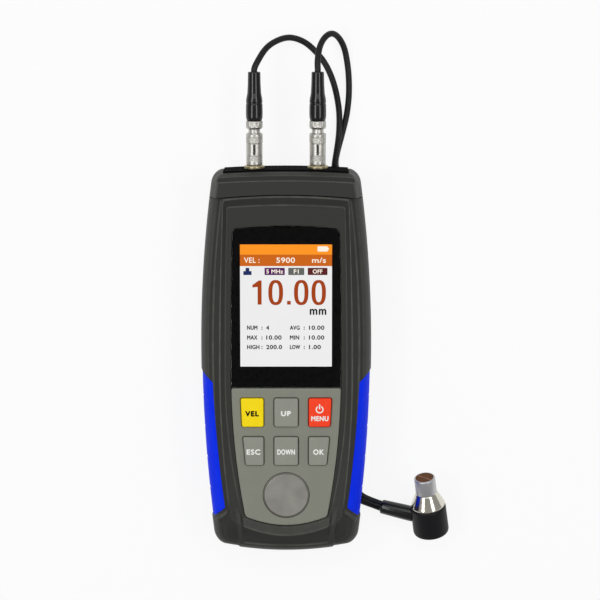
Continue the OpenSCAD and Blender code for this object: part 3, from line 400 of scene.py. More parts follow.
def rounded(rings, radii, wear, steps=4, longest=0.8):
    """Rows through the rings, turned at each ring with its radius and divided where a run is longer than
    longest. The second value is the painted highlight of each row, a lighter colour that is greatest in the
    middle of a turn."""
    rows, highlight_share = [rings[0]], [wear[0]]
    for k in range(1, len(rings) - 1):
        a, b = cut_back(rings[k], rings[k - 1] - rings[k], rings[k + 1] - rings[k], radii[k])
        for t in np.linspace(0, 1, steps + 1) if radii[k] else [0.5]:
            rows.append(turn(a, rings[k], b, t))
            highlight_share.append(wear[k] * 4 * t * (1 - t))
    rows.append(rings[-1])
    highlight_share.append(wear[-1])
    full, full_highlight = [rows[0]], [highlight_share[0]]
    for k in range(1, len(rows)):
        count = max(1, int(np.ceil(np.linalg.norm(rows[k] - rows[k - 1], axis=1).max() / longest)))
        for s in np.arange(1, count + 1) / count:
            full.append(rows[k - 1] + (rows[k] - rows[k - 1]) * s)
            full_highlight.append(highlight_share[k - 1] + (highlight_share[k] - highlight_share[k - 1]) * s)
    return np.array(full), np.array(full_highlight)


# %% [markdown]
# Two strips run from the frame of the front to the lower edge, and a short slanted rib lies under each grip.
# They could be separate bars, but on the real case they grow out of the skin. So they are a height that is
# added to the skin along its normals.

# %% Relief of the lower end
# Rise of the strips, of the face between them and of the slanted ribs, in millimetres.
STRIP_RISE, PROUD_RISE, RIB_RISE = 0.7, 0.45, 0.8
# The middle of a strip as y, x; the two ends of a slanted rib as x, y.
STRIP_LINE = np.array([(-79, 17.9), (-76, 18.0), (-68, 18.8), (-61, 19.8), (-56, 20.3)])
RIB_START, RIB_END = np.array([23.5, -60.6]), np.array([28.2, -64.9])


def ramp(value, low, high):
    """0 below low, 1 above high, and 3t^2 - 2t^3 between them."""
    t = np.clip((value - low) / (high - low), 0, 1)
    return t * t * (3 - 2 * t)


def relief(p):
    """Height of the ribs on the skin in millimetres and their share of painted highlight, at each point. Each
    form is a product of ramps. The face between the strips stands proud, and the bevel under the keypad gets a
    painted highlight, as it faces the light."""
    x, y, z = np.abs(p[..., 0]), p[..., 1], p[..., 2]
    front = ramp(z, 8.5, 11.5)
    middle = np.interp(y, *STRIP_LINE.T)
    strip = (1 - ramp(np.abs(x - middle), 0.95, 1.3)) * ramp(-y, 59, 64) * front
    proud = (1 - ramp(x - middle, 0.7, 1.3)) * ramp(-y, 70, 74) * front
    along, length = unit(RIB_END - RIB_START), np.linalg.norm(RIB_END - RIB_START)
    dx, dy = x - RIB_START[0], y - RIB_START[1]
    s, off = dx * along[0] + dy * along[1], np.abs(dx * along[1] - dy * along[0])
    rib = (1 - ramp(off, 0.5, 0.8)) * ramp(s, -0.2, 0.2) * (1 - ramp(s, length - 0.2, length + 0.2))
    rib = rib * (z > PART_Z)
    bevel = (ramp(y + 70.6 - x * x / 74, 0, 0.3) * (1 - ramp(y + 67.5 - x * x / 72, -0.3, 0.1))
             * (x < 17.6) * (y < -55))
    strip_rise = (STRIP_RISE - 0.25 * ramp(-y, 70, 75)) * strip
    height = np.maximum(np.maximum(strip_rise, PROUD_RISE * proud), RIB_RISE * rib)
    return height, np.maximum(np.maximum(0.2 * strip, 0.8 * rib), 0.3 * bevel)


def lifted(rows, row_wear):
    """Each point moved along its normal, the cross product of the two grid directions, by the relief. The
    second value is the painted highlight of each point: that of its row, less at the lower corners, or that of
    the ribs."""
    du = np.roll(rows, -1, axis=1) - np.roll(rows, 1, axis=1)
    height, highlight_mask = relief(rows)
    corner = ramp(-rows[..., 1], 55, 60) * (np.abs(rows[..., 0]) > 17)
    highlight_share = np.maximum(row_wear[:, None] * (1 - 0.8 * corner), highlight_mask)
    return rows + unit(np.cross(du, np.gradient(rows, axis=0))) * height[..., None], highlight_share


outer_rings = back_rings + front_rings + recess_rings
radii = [0, 2.5, 1.5, 0, 1.5, 1.6, 1.2, 1.0, 0.7, 0.5, 0.5, 0.3, 0, 0]
# Painted highlight on each ring: a lighter colour along the rounded edges, where light catches them.
wear = [0, 0.2, 0, 0, 0, 0, 0.2, 0.4, 0.9, 1.0, 0.7, 0.6, 0, 0]
skin, skin_wear = lifted(*rounded(outer_rings, radii, wear))
upper_half = np.arange(len(skin)) > len(skin) // 2
part_row = int(np.argmin(np.abs(skin[:, 0, 2] - PART_Z) + 100 * upper_half))
print("skin rows:", len(skin), "parting row:", part_row)

# %% [markdown]
# The covers are cut from that skin as a toolmaker would cut them: along the arched seam to the cap, along
# the parting line, and round the pockets of the grips and the battery door. The cuts could be drawn into the
# rings, but a Boolean cut leaves the skin's own curve untouched right up to the edge.

# %% Cutting tools
def prism(outline, z0, z1):
    """An outline of x, y points carried straight up from z0 to z1, with a flat face at each end."""
    return capped(np.stack([np.c_[outline, np.full(len(outline), z)] for z in (z0, z1)]))


def merged(*solids):
    """Several solids as one list of points and faces."""
    points, faces, count = [], [], 0
    for solid_points, solid_faces in solids:
        points.append(solid_points)
        faces += [f + count for f in solid_faces]
        count += len(solid_points)
    return np.vstack(points), faces


def mirrored(solid):
    """The solid with x turned round, and its faces with it."""
    return solid[0] * (-1, 1, 1), [f[:, ::-1] for f in solid[1]]


def carve(mesh, solid, operation="DIFFERENCE"):
    """The mesh after a Boolean operation with a solid, whose parts must not overlap each other."""
    tool_mesh = closed_mesh("tool", *solid)
    work, tool = (bpy.data.objects.new(n, m) for n, m in (("work", mesh), ("tool", tool_mesh)))
    for o in (work, tool):
        scene.collection.objects.link(o)
    cut = work.modifiers.new("cut", "BOOLEAN")
    cut.object, cut.operation, cut.solver = tool, operation, "EXACT"
    result = bpy.data.meshes.new_from_object(work.evaluated_get(bpy.context.evaluated_depsgraph_get()))
    for o in (work, tool):
        bpy.data.objects.remove(o)
    for m in (mesh, tool_mesh):
        bpy.data.meshes.remove(m)
    return result


def beyond_seam(shift):
    """Everything on the socket side of the seam, y = 68.2 + shift - x^2 / 560."""
    x = np.linspace(-60, 60, 121)
    arc = np.c_[x, CASE_TOP - 10 + shift - x * x / 560]
    return prism(np.vstack([arc, [(60, 120), (-60, 120)]]), -2, 34)


# %% [markdown]
# A grip lies in a pocket of the same form, so both come from one strip on the bowed flank. A profile of
# inset and height runs down the flank, and the strip carries it along the case between two slanted ends.

# %% Strip of a grip
# Inset and height of the profile's points, and the direction inwards at each.
GRIP_OUT = np.array([(5, 27.8), (3.4, 26.6), (2.3, 25), (1.3, 22.4), (0.6, 19), (0.5, 15), (0.7, 12.3),
                     (1.9, 9.2), (3.2, 7.9)])
GRIP_IN = np.array([(0.4, -0.9), (0.6, -0.8), (0.8, -0.6), (0.95, -0.3), (1, -0.05), (1, 0), (1, 0.1),
                    (0.85, 0.5), (0.7, 0.7)])
# Ends along y, and how far an end leans for each millimetre of inset.
GRIP_TOP, GRIP_BOTTOM, GRIP_LEAN = -3.4, -65.0, 0.9
# At the lower end the strip reaches this far over the front, and this much higher.
GRIP_REACH, GRIP_LIFT = 1.8, 1.2
POCKET_CLEAR = 0.12


def grip_profile(depth, side):
    """Inset and height down the flank, moved inwards by depth, with both ends moved out by side."""
    p = GRIP_OUT + depth * GRIP_IN
    p[0] += side * np.array([0.9, 0.4])
    p[-1] += side * np.array([0.7, -0.7])
    return smooth_path(np.c_[p, np.zeros(len(p))], 5)[:, :2]


def grip_side(profile, t, sunk, spread):
    """One face of the strip: x is the bowed flank less the inset, and y goes from end to end with t."""
    reach = ramp(profile[None, :, 1], 23, 27.8) * t[:, None]
    inset, z = profile[None, :, 0] + GRIP_REACH * reach, profile[None, :, 1] + GRIP_LIFT * reach
    top = GRIP_TOP - GRIP_LEAN * inset + spread
    bottom = GRIP_BOTTOM + GRIP_LEAN * inset - spread
    y = top + (bottom - top) * t[:, None]
    return np.stack([bow(CASE_HALF, y, *FLANK_BOW) - inset - sunk, y, z], -1)


def grip_solid(outer, inner, t, cut, spread):
    """The strip between an outer and an inner profile. The outer face is sunk by cut, less over the front."""
    m = len(outer)
    fade = 1 - 0.85 * ramp(outer[:, 1], 18, 24)
    fade[[0, -1]] = 0
    rows = np.concatenate([grip_side(outer, t, cut[:, None] * fade[None], spread),
                           grip_side(inner, t, 0, spread)[:, ::-1]], 1)
    i = np.arange(m - 1)
    end = np.stack([i, 2 * m - 1 - i, 2 * m - 2 - i, i + 1], -1)
    sides = grid_faces(len(t), 2 * m, wrap_columns=True)
    return rows.reshape(-1, 3), [sides, end, end[:, ::-1] + (len(t) - 1) * 2 * m]


even = np.linspace(0, 1, 40)
pocket = grip_solid(grip_profile(-4, POCKET_CLEAR), grip_profile(2.4, POCKET_CLEAR), even, 0 * even, POCKET_CLEAR)
print("pocket points:", len(pocket[0]))

# %% [markdown]
# The case plastic is charcoal ABS from a spark-eroded mould: a fine even grain and a broad dull sheen.
# Its edges, strips and ribs carry a painted highlight, a lighter colour where light catches them. A shader can
# find edges by itself, but only at render time, so the painted highlight of each point goes to the mesh as an
# attribute that the export can bake.

# %% Charcoal ABS
# The second colour is painted highlight, laid on the case's edges, strips and ribs.
CHARCOAL, HIGHLIGHT_COLOUR = "#2a2b27", "#64655d"


def moulded_abs(name, colour, highlight_colour):
    """ABS with a grain and a colour that goes towards the painted highlight colour by the edge highlight
    attribute times a cloud. Real grain is about 0.1 mm; it is drawn at 0.45 mm so that it shows in the picture."""
    made, tree, shader = finish(name, colour, 0.5, Specular_IOR_Level=0.35)
    roughen(tree, shader, object_grain(tree, 0.45, detail=4.0), 0.42, 0.64, 0.035)
    cloud = object_grain(tree, 5.0, detail=5.0)
    # The attribute is the painted highlight of each point; the cloud breaks it up.
    edge = add(tree, "ShaderNodeAttribute", attribute_name="wear")
    highlight_mask = add(tree, "ShaderNodeMath", {0: edge.outputs["Fac"], 1: cloud.outputs["Fac"]}, operation="MULTIPLY")
    mixed = add(tree, "ShaderNodeMix", {"Factor": highlight_mask.outputs[0], 6: linear(colour), 7: linear(highlight_colour)},
                data_type="RGBA")
    tree.links.new(mixed.outputs[2], shader.inputs["Base Color"])
    return made


case_abs = moulded_abs("moulded_abs_charcoal", CHARCOAL, HIGHLIGHT_COLOUR)
print("case finish:", case_abs.name)

# %% [markdown]
# The front cover is the upper rows of that skin, closed with an inner wall and then cut. A thin skin with
# no inside would look the same from the front, but its edge would show as paper along the seams.

# %% Front cover
SEAM_GAP = 0.2


def wall_ring(z):
    """The inner face of the case's wall at height z."""
    return case_ring(4.6, z, 12.5, 5.5)


columns = skin.shape[1]
cover_cut = merged(beyond_seam(-SEAM_GAP), pocket, mirrored(pocket))
inside = np.array([recess_ring(LEDGE_W, ROOF_Z), wall_ring(ROOF_Z), wall_ring(PART_Z)])
front_rows = np.concatenate([skin[part_row:], inside])
front_wear = np.concatenate([skin_wear[part_row:], np.zeros((len(inside), columns))])
front_faces = grid_faces(len(front_rows), columns, wrap_rows=True, wrap_columns=True)
front_mesh = closed_mesh("front_shell", front_rows.reshape(-1, 3), [front_faces], wear=front_wear)
front_mesh = carve(front_mesh, cover_cut)
piece("front_shell", front_mesh, case_abs, "case", ["front_cover"])
print("front cover faces:", len(front_mesh.polygons))

# %% [markdown]
# The rear cover is the lower rows with a floor. The battery door slides in a slot that is wider at the top,
# for the rails on its edges. Each cut is made on its own, because one tool whose parts overlap would leave
# the Boolean with no clear inside.

# %% Rear cover
POSTS = [(24.4, 60.2), (-24.4, 60.2), (19.4, -68.0), (-19.4, -68.0)]
POST_HOLE_R = 3.1


def box(x0, x1, y0, y1, z0, z1):
    """A box between two corners."""
    return prism(np.array([(x0, y0), (x1, y0), (x1, y1), (x0, y1)]), z0, z1)


def round_hole(x, y, radius, z0, z1):
    """A drill of 48 sides: x + radius cos a, y + radius sin a."""
    a = np.linspace(0, 2 * np.pi, 48, endpoint=False)
    return prism(np.c_[x + radius * np.cos(a), y + radius * np.sin(a)], z0, z1)


def along_y(profile, y0, y1):
    """An outline of x, z points carried from y1 back to y0, with a flat face at each end."""
    points, faces = prism(profile, y0, y1)
    return points[:, [0, 2, 1]], [f[:, ::-1] for f in faces]


floor_rows = np.array([case_ring(13.7, 2.2, 16.3, 16.2, 6, 6), wall_ring(11.7), wall_ring(PART_Z)])
rear_rows = np.concatenate([floor_rows, skin[:part_row + 1][::-1]])
rear_wear = np.concatenate([np.zeros((len(floor_rows), columns)), skin_wear[:part_row + 1][::-1]])
rear_mesh = closed_mesh("rear_shell", *capped(rear_rows), wear=rear_wear)
door_way = np.array([(16.2, -1), (16.2, 0.9), (17.4, 0.9), (17.4, 2.05)])
door_slot = along_y(np.vstack([door_way, door_way[::-1] * (-1, 1)]), -90, -1.8)
post_holes = merged(*[round_hole(x, y, POST_HOLE_R, -1, 12) for x, y in POSTS])
cell_bay = box(-15.4, 15.4, -60.9, -4, 1, 3)
for cut in (cover_cut, door_slot, post_holes, cell_bay):
    rear_mesh = carve(rear_mesh, cut)
    print("rear cover faces after a cut:", len(rear_mesh.polygons))
piece("rear_shell", rear_mesh, case_abs, "case", ["rear_cover"])

# %% [markdown]
# The cap has flatter bevels of its own and a pocket for the black strip that the sockets stand on. It is
# made as a whole body of its rings, and the seam then takes away all but its end.

# %% Cap
STRIP_HALF, STRIP_SINK = 25.1, 1.15
cap_radii = [0, 1.2, 1.5, 0, 1.5, 0.8, 0.5, 0.35, 0.3, 0]
# Painted highlight on each ring of the cap, a lighter colour along its rounded edges.
cap_edge_highlight = [0, 0.3, 0, 0, 0, 0.3, 0.5, 0.8, 1.0, 0]
cap_rows, cap_wear = rounded(back_rings + cap_rings, cap_radii, cap_edge_highlight)
cap_mesh = closed_mesh("cap_shell", *capped(cap_rows), wear=np.repeat(cap_wear, columns))
cap_mesh = carve(cap_mesh, beyond_seam(SEAM_GAP), "INTERSECT")
x = np.linspace(-STRIP_HALF, STRIP_HALF, 81)
seat = np.c_[x, CASE_TOP - STRIP_SINK - x * x / 840]
cap_mesh = carve(cap_mesh, prism(np.vstack([seat, [(STRIP_HALF, 90), (-STRIP_HALF, 90)]]), 6.5, 24.3))
piece("cap_shell", cap_mesh, case_abs, "case", ["top_cap"])
print("cap faces:", len(cap_mesh.polygons))

# %% [markdown]
# ## Grips
# The grips are a soft blue rubber pressed into the flanks, with four shallow grooves across. The grooves
# could be cut with four tools, but a moulded groove has soft shoulders. So they are a dent of 0.5 mm in the
# strip's outer face, which fades at the edges.

# %% Grips
GROOVES, GROOVE_DEPTH, END_ROUND = np.array([-14.6, -27.4, -40.2, -53.0]), 0.5, 0.25
# Moulded soft elastomer, bright blue: matt, with almost no highlight.
grip_rubber = grained("tpe_rubber_blue", "#002bfa", 0.6, 0.5, 0.02, tone="#0336ff", Specular_IOR_Level=0.1)
t = np.linspace(0, 1, 300)
y_mid = GRIP_TOP - 0.3 + (GRIP_BOTTOM - GRIP_TOP + 0.55) * t
dent = GROOVE_DEPTH * (1 - ramp(np.abs(y_mid[:, None] - GROOVES), 0.15, 0.75)).sum(1)
round_off = END_ROUND * (1 - np.clip(np.minimum(t, 1 - t) * 60 / 0.5, 0, 1)) ** 2
grip_shape = grip_solid(grip_profile(0, 0), grip_profile(1.5, 0), t, dent + round_off, 0)
for side, solid in (("right", grip_shape), ("left", mirrored(grip_shape))):
    name = f"grip_{side}_rubber"
    piece(name, closed_mesh(name, *solid), grip_rubber, "case", [f"grip_{side}"])
print("grip points:", len(grip_shape[0]))

# %% [markdown]
# ## Window and screen
# The window is one clear acrylic plate with a polished, slightly broken edge. Black tape under it hides
# the border of the screen. A black frame could be painted on the plate itself, but the plate then would not
# show the depth between its face and the tape, which the real one does at a slant.

# %% Window
# Cast acrylic: polished on both faces. A hard coat on each face cuts the reflection to less than half that
# of bare acrylic with its index of 1.49, which the low index here stands for.
acrylic = grained("cast_acrylic_clear", "#ffffff", 0.02, 5.0, 0.0003, spread=0.01,
                  IOR=1.28, Transmission_Weight=1.0)


def plate(outline_ring, z0, z1, chamfer):
    """A plate with the outline of a ring function of gap and height, and a chamfer round its upper edge."""
    steps = [(0, z0), (0, z1 - chamfer), (chamfer * 0.3, z1 - chamfer * 0.3), (chamfer, z1), (chamfer + 0.2, z1)]
    return capped(np.array([outline_ring(gap, z) for gap, z in steps]))


def window_ring(gap, z):
    """The outline of the window: the upper part of the recess, with a straight lower edge."""
    return panel_ring(gap, z, 22.15, 55.85, -9.92, 2.1, 0.3, arch_b=STRAIGHT)


def dress(name, made):
    """Give a solid of the part its finish."""
    for place in nodes[name].material_slots:
        place.material = made


window_mesh = closed_mesh("window_plate", *plate(window_ring, 26.8, 28.3, 0.25))
piece("window_plate", window_mesh, acrylic, "case", ["window"])
# Black printed tape: nearly no gloss, the darkest surface on the front.
dress("window_tape", grained("printed_tape_black", "#0a0a0b", 0.7, 0.6, 0.004, Specular_IOR_Level=0.03))
print("window faces:", len(window_mesh.polygons))

# %% [markdown]
# The screen is a backlit panel, so its picture is light of its own: the colours are emission, and the
# acrylic in front adds its reflections. The picture could be one texture, but flat shapes that lie on the
# panel stay sharp from any distance. Words are set as text, made a mesh and then fitted to their box.

# %% Shapes on the screen
def lit(name, colour, strength=1.06):
    """A backlit colour: black film that gives off its own light, up to 4 percent less in places."""
    made, tree, shader = finish(name, "#020202", 0.6, Specular_IOR_Level=0.0, Emission_Strength=strength)
    cloud = object_grain(tree, 9.0, detail=1.0)
    full = np.array(linear(colour))
    mixed = add(tree, "ShaderNodeMix", {"Factor": cloud.outputs["Fac"], 6: tuple(full), 7: tuple(full * 0.96)},
                data_type="RGBA")
    tree.links.new(mixed.outputs[2], shader.inputs["Emission Color"])
    return made


def patch(x0, x1, y0, y1, z, radius=0.0, steps=6):
    """A flat rectangle at height z as one face, each corner a quarter circle r (cos a, sin a)."""
    a = np.linspace(0, np.pi / 2, steps)
    corner = radius * np.c_[np.cos(a), np.sin(a)]
    turns = [corner, corner[::-1] * (-1, 1), corner * (-1, -1), corner[::-1] * (1, -1)]
    spots = [(x1 - radius, y1 - radius), (x0 + radius, y1 - radius),
             (x0 + radius, y0 + radius), (x1 - radius, y0 + radius)]
    flat = np.vstack([np.array(c) + s for c, s in zip(spots, turns)])
    return np.c_[flat, np.full(len(flat), z)], [np.arange(len(flat))[None]]


def lettering(text, x0, x1, y0, y1, z, bold=0.0):
    """Points and faces of words that fill the box x0..x1, y0..y1 at height z. Bold words are struck five
    times, each time moved by bold millimetres, which thickens every stroke evenly, and are set that much
    wider."""
    curve = bpy.data.curves.new("words", "FONT")
    curve.body, curve.resolution_u, curve.space_character = text, 6, 1 + bold
    shown = bpy.data.objects.new("words", curve)
    scene.collection.objects.link(shown)
    mesh = bpy.data.meshes.new_from_object(shown.evaluated_get(bpy.context.evaluated_depsgraph_get()))
    flat = np.empty(len(mesh.vertices) * 3)
    mesh.vertices.foreach_get("co", flat)
    flat = flat.reshape(-1, 3)[:, :2]
    mesh.calc_loop_triangles()
    corners = np.empty(len(mesh.loop_triangles) * 3, np.int32)
    mesh.loop_triangles.foreach_get("vertices", corners)
    low, high = flat.min(0), flat.max(0)
    bpy.data.objects.remove(shown)
    bpy.data.curves.remove(curve)
    bpy.data.meshes.remove(mesh)
    start, size = np.array([x0, y0]) + bold, np.array([x1 - x0, y1 - y0]) - 2 * bold
    word = start + (flat - low) / (high - low) * size
    strikes = np.array([(0, 0), (1, 0), (-1, 0), (0, 1), (0, -1)]) if bold else np.zeros((1, 2))
    return merged(*[(np.c_[word + bold * move, np.full(len(word), z + 0.002 * k)], [corners.reshape(-1, 3)])
                    for k, move in enumerate(strikes)])


def nought(x0, x1, y0, y1, side, z):
    """A nought that fills the box: the ring between two curves |u|^2.5 + |v|^2.5 = 1, side millimetres apart
    at the flanks and three quarters of that at the ends."""
    n = 72
    a = np.linspace(0, 2 * np.pi, n, endpoint=False)
    circle = np.c_[np.cos(a), np.sin(a)]
    curve = np.sign(circle) * np.abs(circle) ** 0.8
    middle, half = np.array([x0 + x1, y0 + y1]) / 2, np.array([x1 - x0, y1 - y0]) / 2
    flat = np.vstack([middle + curve * half, middle + curve * (half - (side, 0.75 * side))])
    return np.c_[flat, np.full(2 * n, z)], [grid_faces(2, n, wrap_columns=True)]


def one(x0, x1, y0, y1, side, z):
    """A one that fills the box: a stem at the right and a short flag that sweeps down to the left."""
    h = y1 - y0
    tip, shoulder = (x1 - 0.7 * side, y1), (x1 - side, y1 - 0.1 * h)
    stem = np.array([(x1, y0), (x1, y1), tip, shoulder, (x1 - side, y0)])
    flag = np.array([tip, (x0, y1 - 0.19 * h), (x0, y1 - 0.29 * h), (x1 - side, y1 - 0.27 * h), shoulder])
    return np.c_[np.vstack([stem, flag]), np.full(10, z)], [np.arange(5)[None], 5 + np.arange(5)[None]]


def flat_piece(name, made, body, slot, *shapes):
    """Show flat shapes as one piece."""
    return piece(name, new_mesh(name, *merged(*shapes)), made, body)


# %% [markdown]
# The picture is a pale ground with two bars across its top. Below them lie a row of small badges, the
# reading in large figures and a list of six small values. Each layer lies a few hundredths of a millimetre
# over the one before, so that no two share a plane.

# %% Screen picture
SCREEN_Z, SCREEN_HALF, SCREEN_LOW, SCREEN_HIGH = 25.5, 19.2, -2.6, 49.2
GROUND_Z, BAR_Z, MARK_Z, WORD_Z = SCREEN_Z + 0.03, SCREEN_Z + 0.06, SCREEN_Z + 0.1, SCREEN_Z + 0.14
TITLE_LOW, SPEED_LOW = 43.95, 39.3
# Lower and upper edge of the words in the speed bar, of the badges, of their words and of the reading.
SPEED_ROW, BADGE_ROW, BADGE_WORD_ROW, READING_ROW = (40.6, 42.8), (35.7, 38.6), (36.3, 38.0), (23.5, 33.7)
STROKE, OVERSHOOT = 1.6, 0.2
LIST_ROWS, LIST_HEIGHT, LIST_BOLD = (13.4, 9.4, 5.5), 1.8, 0.085
SPEED_WORDS = (("VEL :", -16.8, -10.6, 0.04), ("5900", -3.9, 3.6, 0.06), ("m/s", 10.4, 16.0, 0.06))
BADGES = (("violet", "#4f1459", -8.6, -0.5), ("slate", "#60625f", 0.9, 7.3), ("maroon", "#561618", 8.7, 16.6))
BADGE_WORDS = (("5 MHz", -7.9, -1.2), ("F1", 3.1, 5.1), ("OFF", 10.7, 14.6))
# Row, left edge, width and word of each entry in the list.
LIST_WORDS = ((0, -15.7, 4.2, "NUM"), (0, 1.5, 4.0, "AVG"), (1, -15.7, 4.2, "MAX"), (1, 1.5, 3.8, "MIN"),
              (2, -15.7, 5.0, "HIGH"), (2, 1.5, 4.2, "LOW"), (0, -8.0, 1.2, "4"), (0, 9.2, 6.2, "10.00"),
              (1, -8.0, 6.2, "10.00"), (1, 9.2, 6.2, "10.00"), (2, -8.0, 6.4, "200.0"), (2, 9.2, 4.8, "1.00"))


def picture(name, film, colour, *shapes):
    """Show flat shapes on the screen in the colour that they light up in."""
    return flat_piece("picture_" + name, lit("lcd_" + film, colour), "case", "screen_glass", *shapes)


def band(low, high, z):
    """A strip across the whole screen."""
    return patch(-SCREEN_HALF, SCREEN_HALF, low, high, z)


# Black anodised frame of the panel: it shows only as a thin dark line round the picture.
dress("screen", grained("lcd_frame_black", "#0a0a0a", 0.5, 0.5, 0.003))
shown = [
    picture("ground", "light_grey", "#ebebeb", band(SCREEN_LOW, SCREEN_HIGH, GROUND_Z)),
    picture("title_bar", "orange", "#fb941b", band(TITLE_LOW, SCREEN_HIGH, BAR_Z)),
    picture("speed_bar", "amber", "#c9620a", band(SPEED_LOW, TITLE_LOW, BAR_Z)),
    picture("pale", "pale", "#fbf0e0",
            patch(12.6, 16.7, 45.2, 47.3, MARK_Z, 0.3), patch(16.7, 17.1, 45.8, 46.7, MARK_Z),
            *[lettering(w, x0, x1, *SPEED_ROW, MARK_Z, bold) for w, x0, x1, bold in SPEED_WORDS],
            *[lettering(w, x0, x1, *BADGE_WORD_ROW, WORD_Z, 0.06) for w, x0, x1 in BADGE_WORDS]),
    picture("navy", "navy", "#16275c",
            patch(-17.1, -13.8, 35.7, 37.3, MARK_Z, 0.2), patch(-16.2, -14.7, 37.3, 38.6, MARK_Z, 0.2)),
    *[picture(tint, tint, colour, patch(x0, x1, *BADGE_ROW, MARK_Z, 0.2)) for tint, colour, x0, x1 in BADGES]]
low, high = READING_ROW
base, crown = low + OVERSHOOT, high - OVERSHOOT
shown += [
    picture("reading", "brown", "#a03c02", one(-13.5, -9.8, base, crown, STROKE, MARK_Z),
            nought(-7.1, -1.2, low, high, STROKE, MARK_Z), patch(0.4, 1.9, base, 25.2, MARK_Z, 0.1),
            nought(3.2, 9.0, low, high, STROKE, MARK_Z), nought(10.2, 16.0, low, high, STROKE, MARK_Z)),
    picture("ink", "black", "#0c0c0c", lettering("mm", 9.5, 16.2, 19.5, 22.0, MARK_Z, 0.15),
            *[lettering(w, x, x + wide, LIST_ROWS[k], LIST_ROWS[k] + LIST_HEIGHT, MARK_Z, LIST_BOLD)
              for k, x, wide, w in LIST_WORDS],
            *[patch(x, x + 0.4, y + v, y + v + 0.4, MARK_Z)
              for x in (-9.9, 7.1) for y in LIST_ROWS for v in (0.1, 0.9)])]
print("picture pieces:", len(shown))

# %% [markdown]
# ## Keypad
# The keypad is a grey ABS plate with six openings and a round one for the steel block. The openings could be
# painted dark lines, but the gap round a key is real depth, and more of it shows when the key is pressed.
# So the plate is cut through with the keys' own outlines, grown by the gap.

# %% Keypad panel
KEYPAD_TOP, KEY_GAP = 28.3, 0.3
BLOCK_Y, BLOCK_HOLE_R = -54.2, 9.55
# Middle of the upper row, distance of the rows, half height, half width of a middle key, inner edge of an
# outer key, and the margin between an outer key and the side of the recess.
KEY_ROW_Y, KEY_PITCH, KEY_HALF_H, KEY_HALF_W, KEY_INNER, KEY_MARGIN = -19.9, 15.9, 5.85, 4.8, 9.1, 3.85
# Moulded ABS, warm grey: a fine matt grain like the case's, and slow clouds of a lighter tone.
keypad_abs = grained("moulded_abs_grey", "#7f8175", 0.5, 0.45, 0.03, tone="#87897c")


def keypad_ring(gap, z):
    """The outline of the keypad: the lower part of the recess, with a straight upper edge."""
    return panel_ring(gap, z, 22.15, -10.07, -66.85, 0.9, 1.2, arch_t=STRAIGHT)


def key_outline(column, row, grow, radius=0.9, steps=7):
    """Four corners of a key, with outer edges that follow the keypad's sides, each rounded by a turn."""
    y = KEY_ROW_Y - KEY_PITCH * row
    top_y, low_y = y + KEY_HALF_H + grow, y - KEY_HALF_H - grow
    edge = [bow(RECESS_HALF, v, *PANEL_BOW) - KEY_MARGIN + grow for v in (low_y, top_y)]
    if column == 0:
        right, left = [KEY_HALF_W + grow] * 2, -KEY_HALF_W - grow
    else:
        right, left = edge, KEY_INNER - grow
    corners = np.array([(right[0], low_y), (right[1], top_y), (left, top_y), (left, low_y)], float)
    before, after = unit(np.roll(corners, 1, 0) - corners), unit(np.roll(corners, -1, 0) - corners)
    r = max(0.15, radius + grow)
    t = np.linspace(0, 1, steps)[None, :, None]
    arcs = turn((corners + r * before)[:, None], corners[:, None], (corners + r * after)[:, None], t)
    return arcs.reshape(-1, 2) * ((-1, 1) if column < 0 else (1, 1))


key_holes = [prism(key_outline(c, r, KEY_GAP), 20, 32) for c in (-1, 0, 1) for r in (0, 1)]
keypad_mesh = closed_mesh("keypad_plate", *plate(keypad_ring, 26.5, KEYPAD_TOP, 0.5))
keypad_mesh = carve(keypad_mesh, merged(round_hole(0, BLOCK_Y, BLOCK_HOLE_R, 20, 32), *key_holes))
piece("keypad_plate", keypad_mesh, keypad_abs, "case", ["keypad_panel"])
print("keypad faces:", len(keypad_mesh.polygons))

# %% [markdown]
# The keys are silicone rubber, soft at the edges, and each rides on its own body because it can be pressed.
# Each is its outline carried up, rounded over the edge and slightly domed. The print on it could be part of
# the key's material, but a thin flat shape just above the dome stays crisp, and it moves with the key.

# %% Key shape and finishes
KEY_TOP, KEY_FOOT, KEY_ROUND, KEY_DOME = 29.5, 24.6, 0.45, 0.05
# Moulded silicone, coloured through: an even matt skin with a soft sheen at the rounded edges.
KEY_FINISHES = {
    "key_grey": grained("silicone_grey", "#8b8d82", 0.55, 0.4, 0.015, tone="#93958a"),
    "key_yellow": grained("silicone_yellow", "#ffdf10", 0.5, 0.4, 0.015, tone="#ffe518", Specular_IOR_Level=0.15),
    "key_red": grained("silicone_red", "#ff4220", 0.5, 0.4, 0.015, tone="#ff4b2a", Specular_IOR_Level=0.15)}
# Pad printing ink: a thin film, nearly without gloss.
ink_white = grained("pad_print_white", "#f4f4f0", 0.5, 0.5, 0.004)
ink_black = grained("pad_print_black", "#0d0d0b", 0.6, 0.5, 0.004, Specular_IOR_Level=0.1)


def key_solid(column, row):
    """Rows of the key outline: straight from the board side, round over the edge, slightly domed on top."""
    edge = KEY_TOP - 0.5
    steps = [(0.0, KEY_FOOT), (0.0, edge)] + [(KEY_ROUND * (1 - np.cos(a)), edge + KEY_ROUND * np.sin(a))
                                              for a in np.linspace(0, np.pi / 2, 7)[1:]]
    outlines = [(key_outline(column, row, -inset), z) for inset, z in steps]
    rows = [np.c_[outline, np.full(len(outline), z)] for outline, z in outlines]
    middle = rows[-1].mean(0)
    rows += [middle + (rows[-1] - middle) * (s, s, 1) + (0, 0, KEY_DOME * (1 - s * s)) for s in (0.8, 0.5, 0.25)]
    return capped(np.array(rows))


print("key points:", len(key_solid(0, 0)[0]))

# %% Keys
INK_Z = KEY_TOP + 0.04
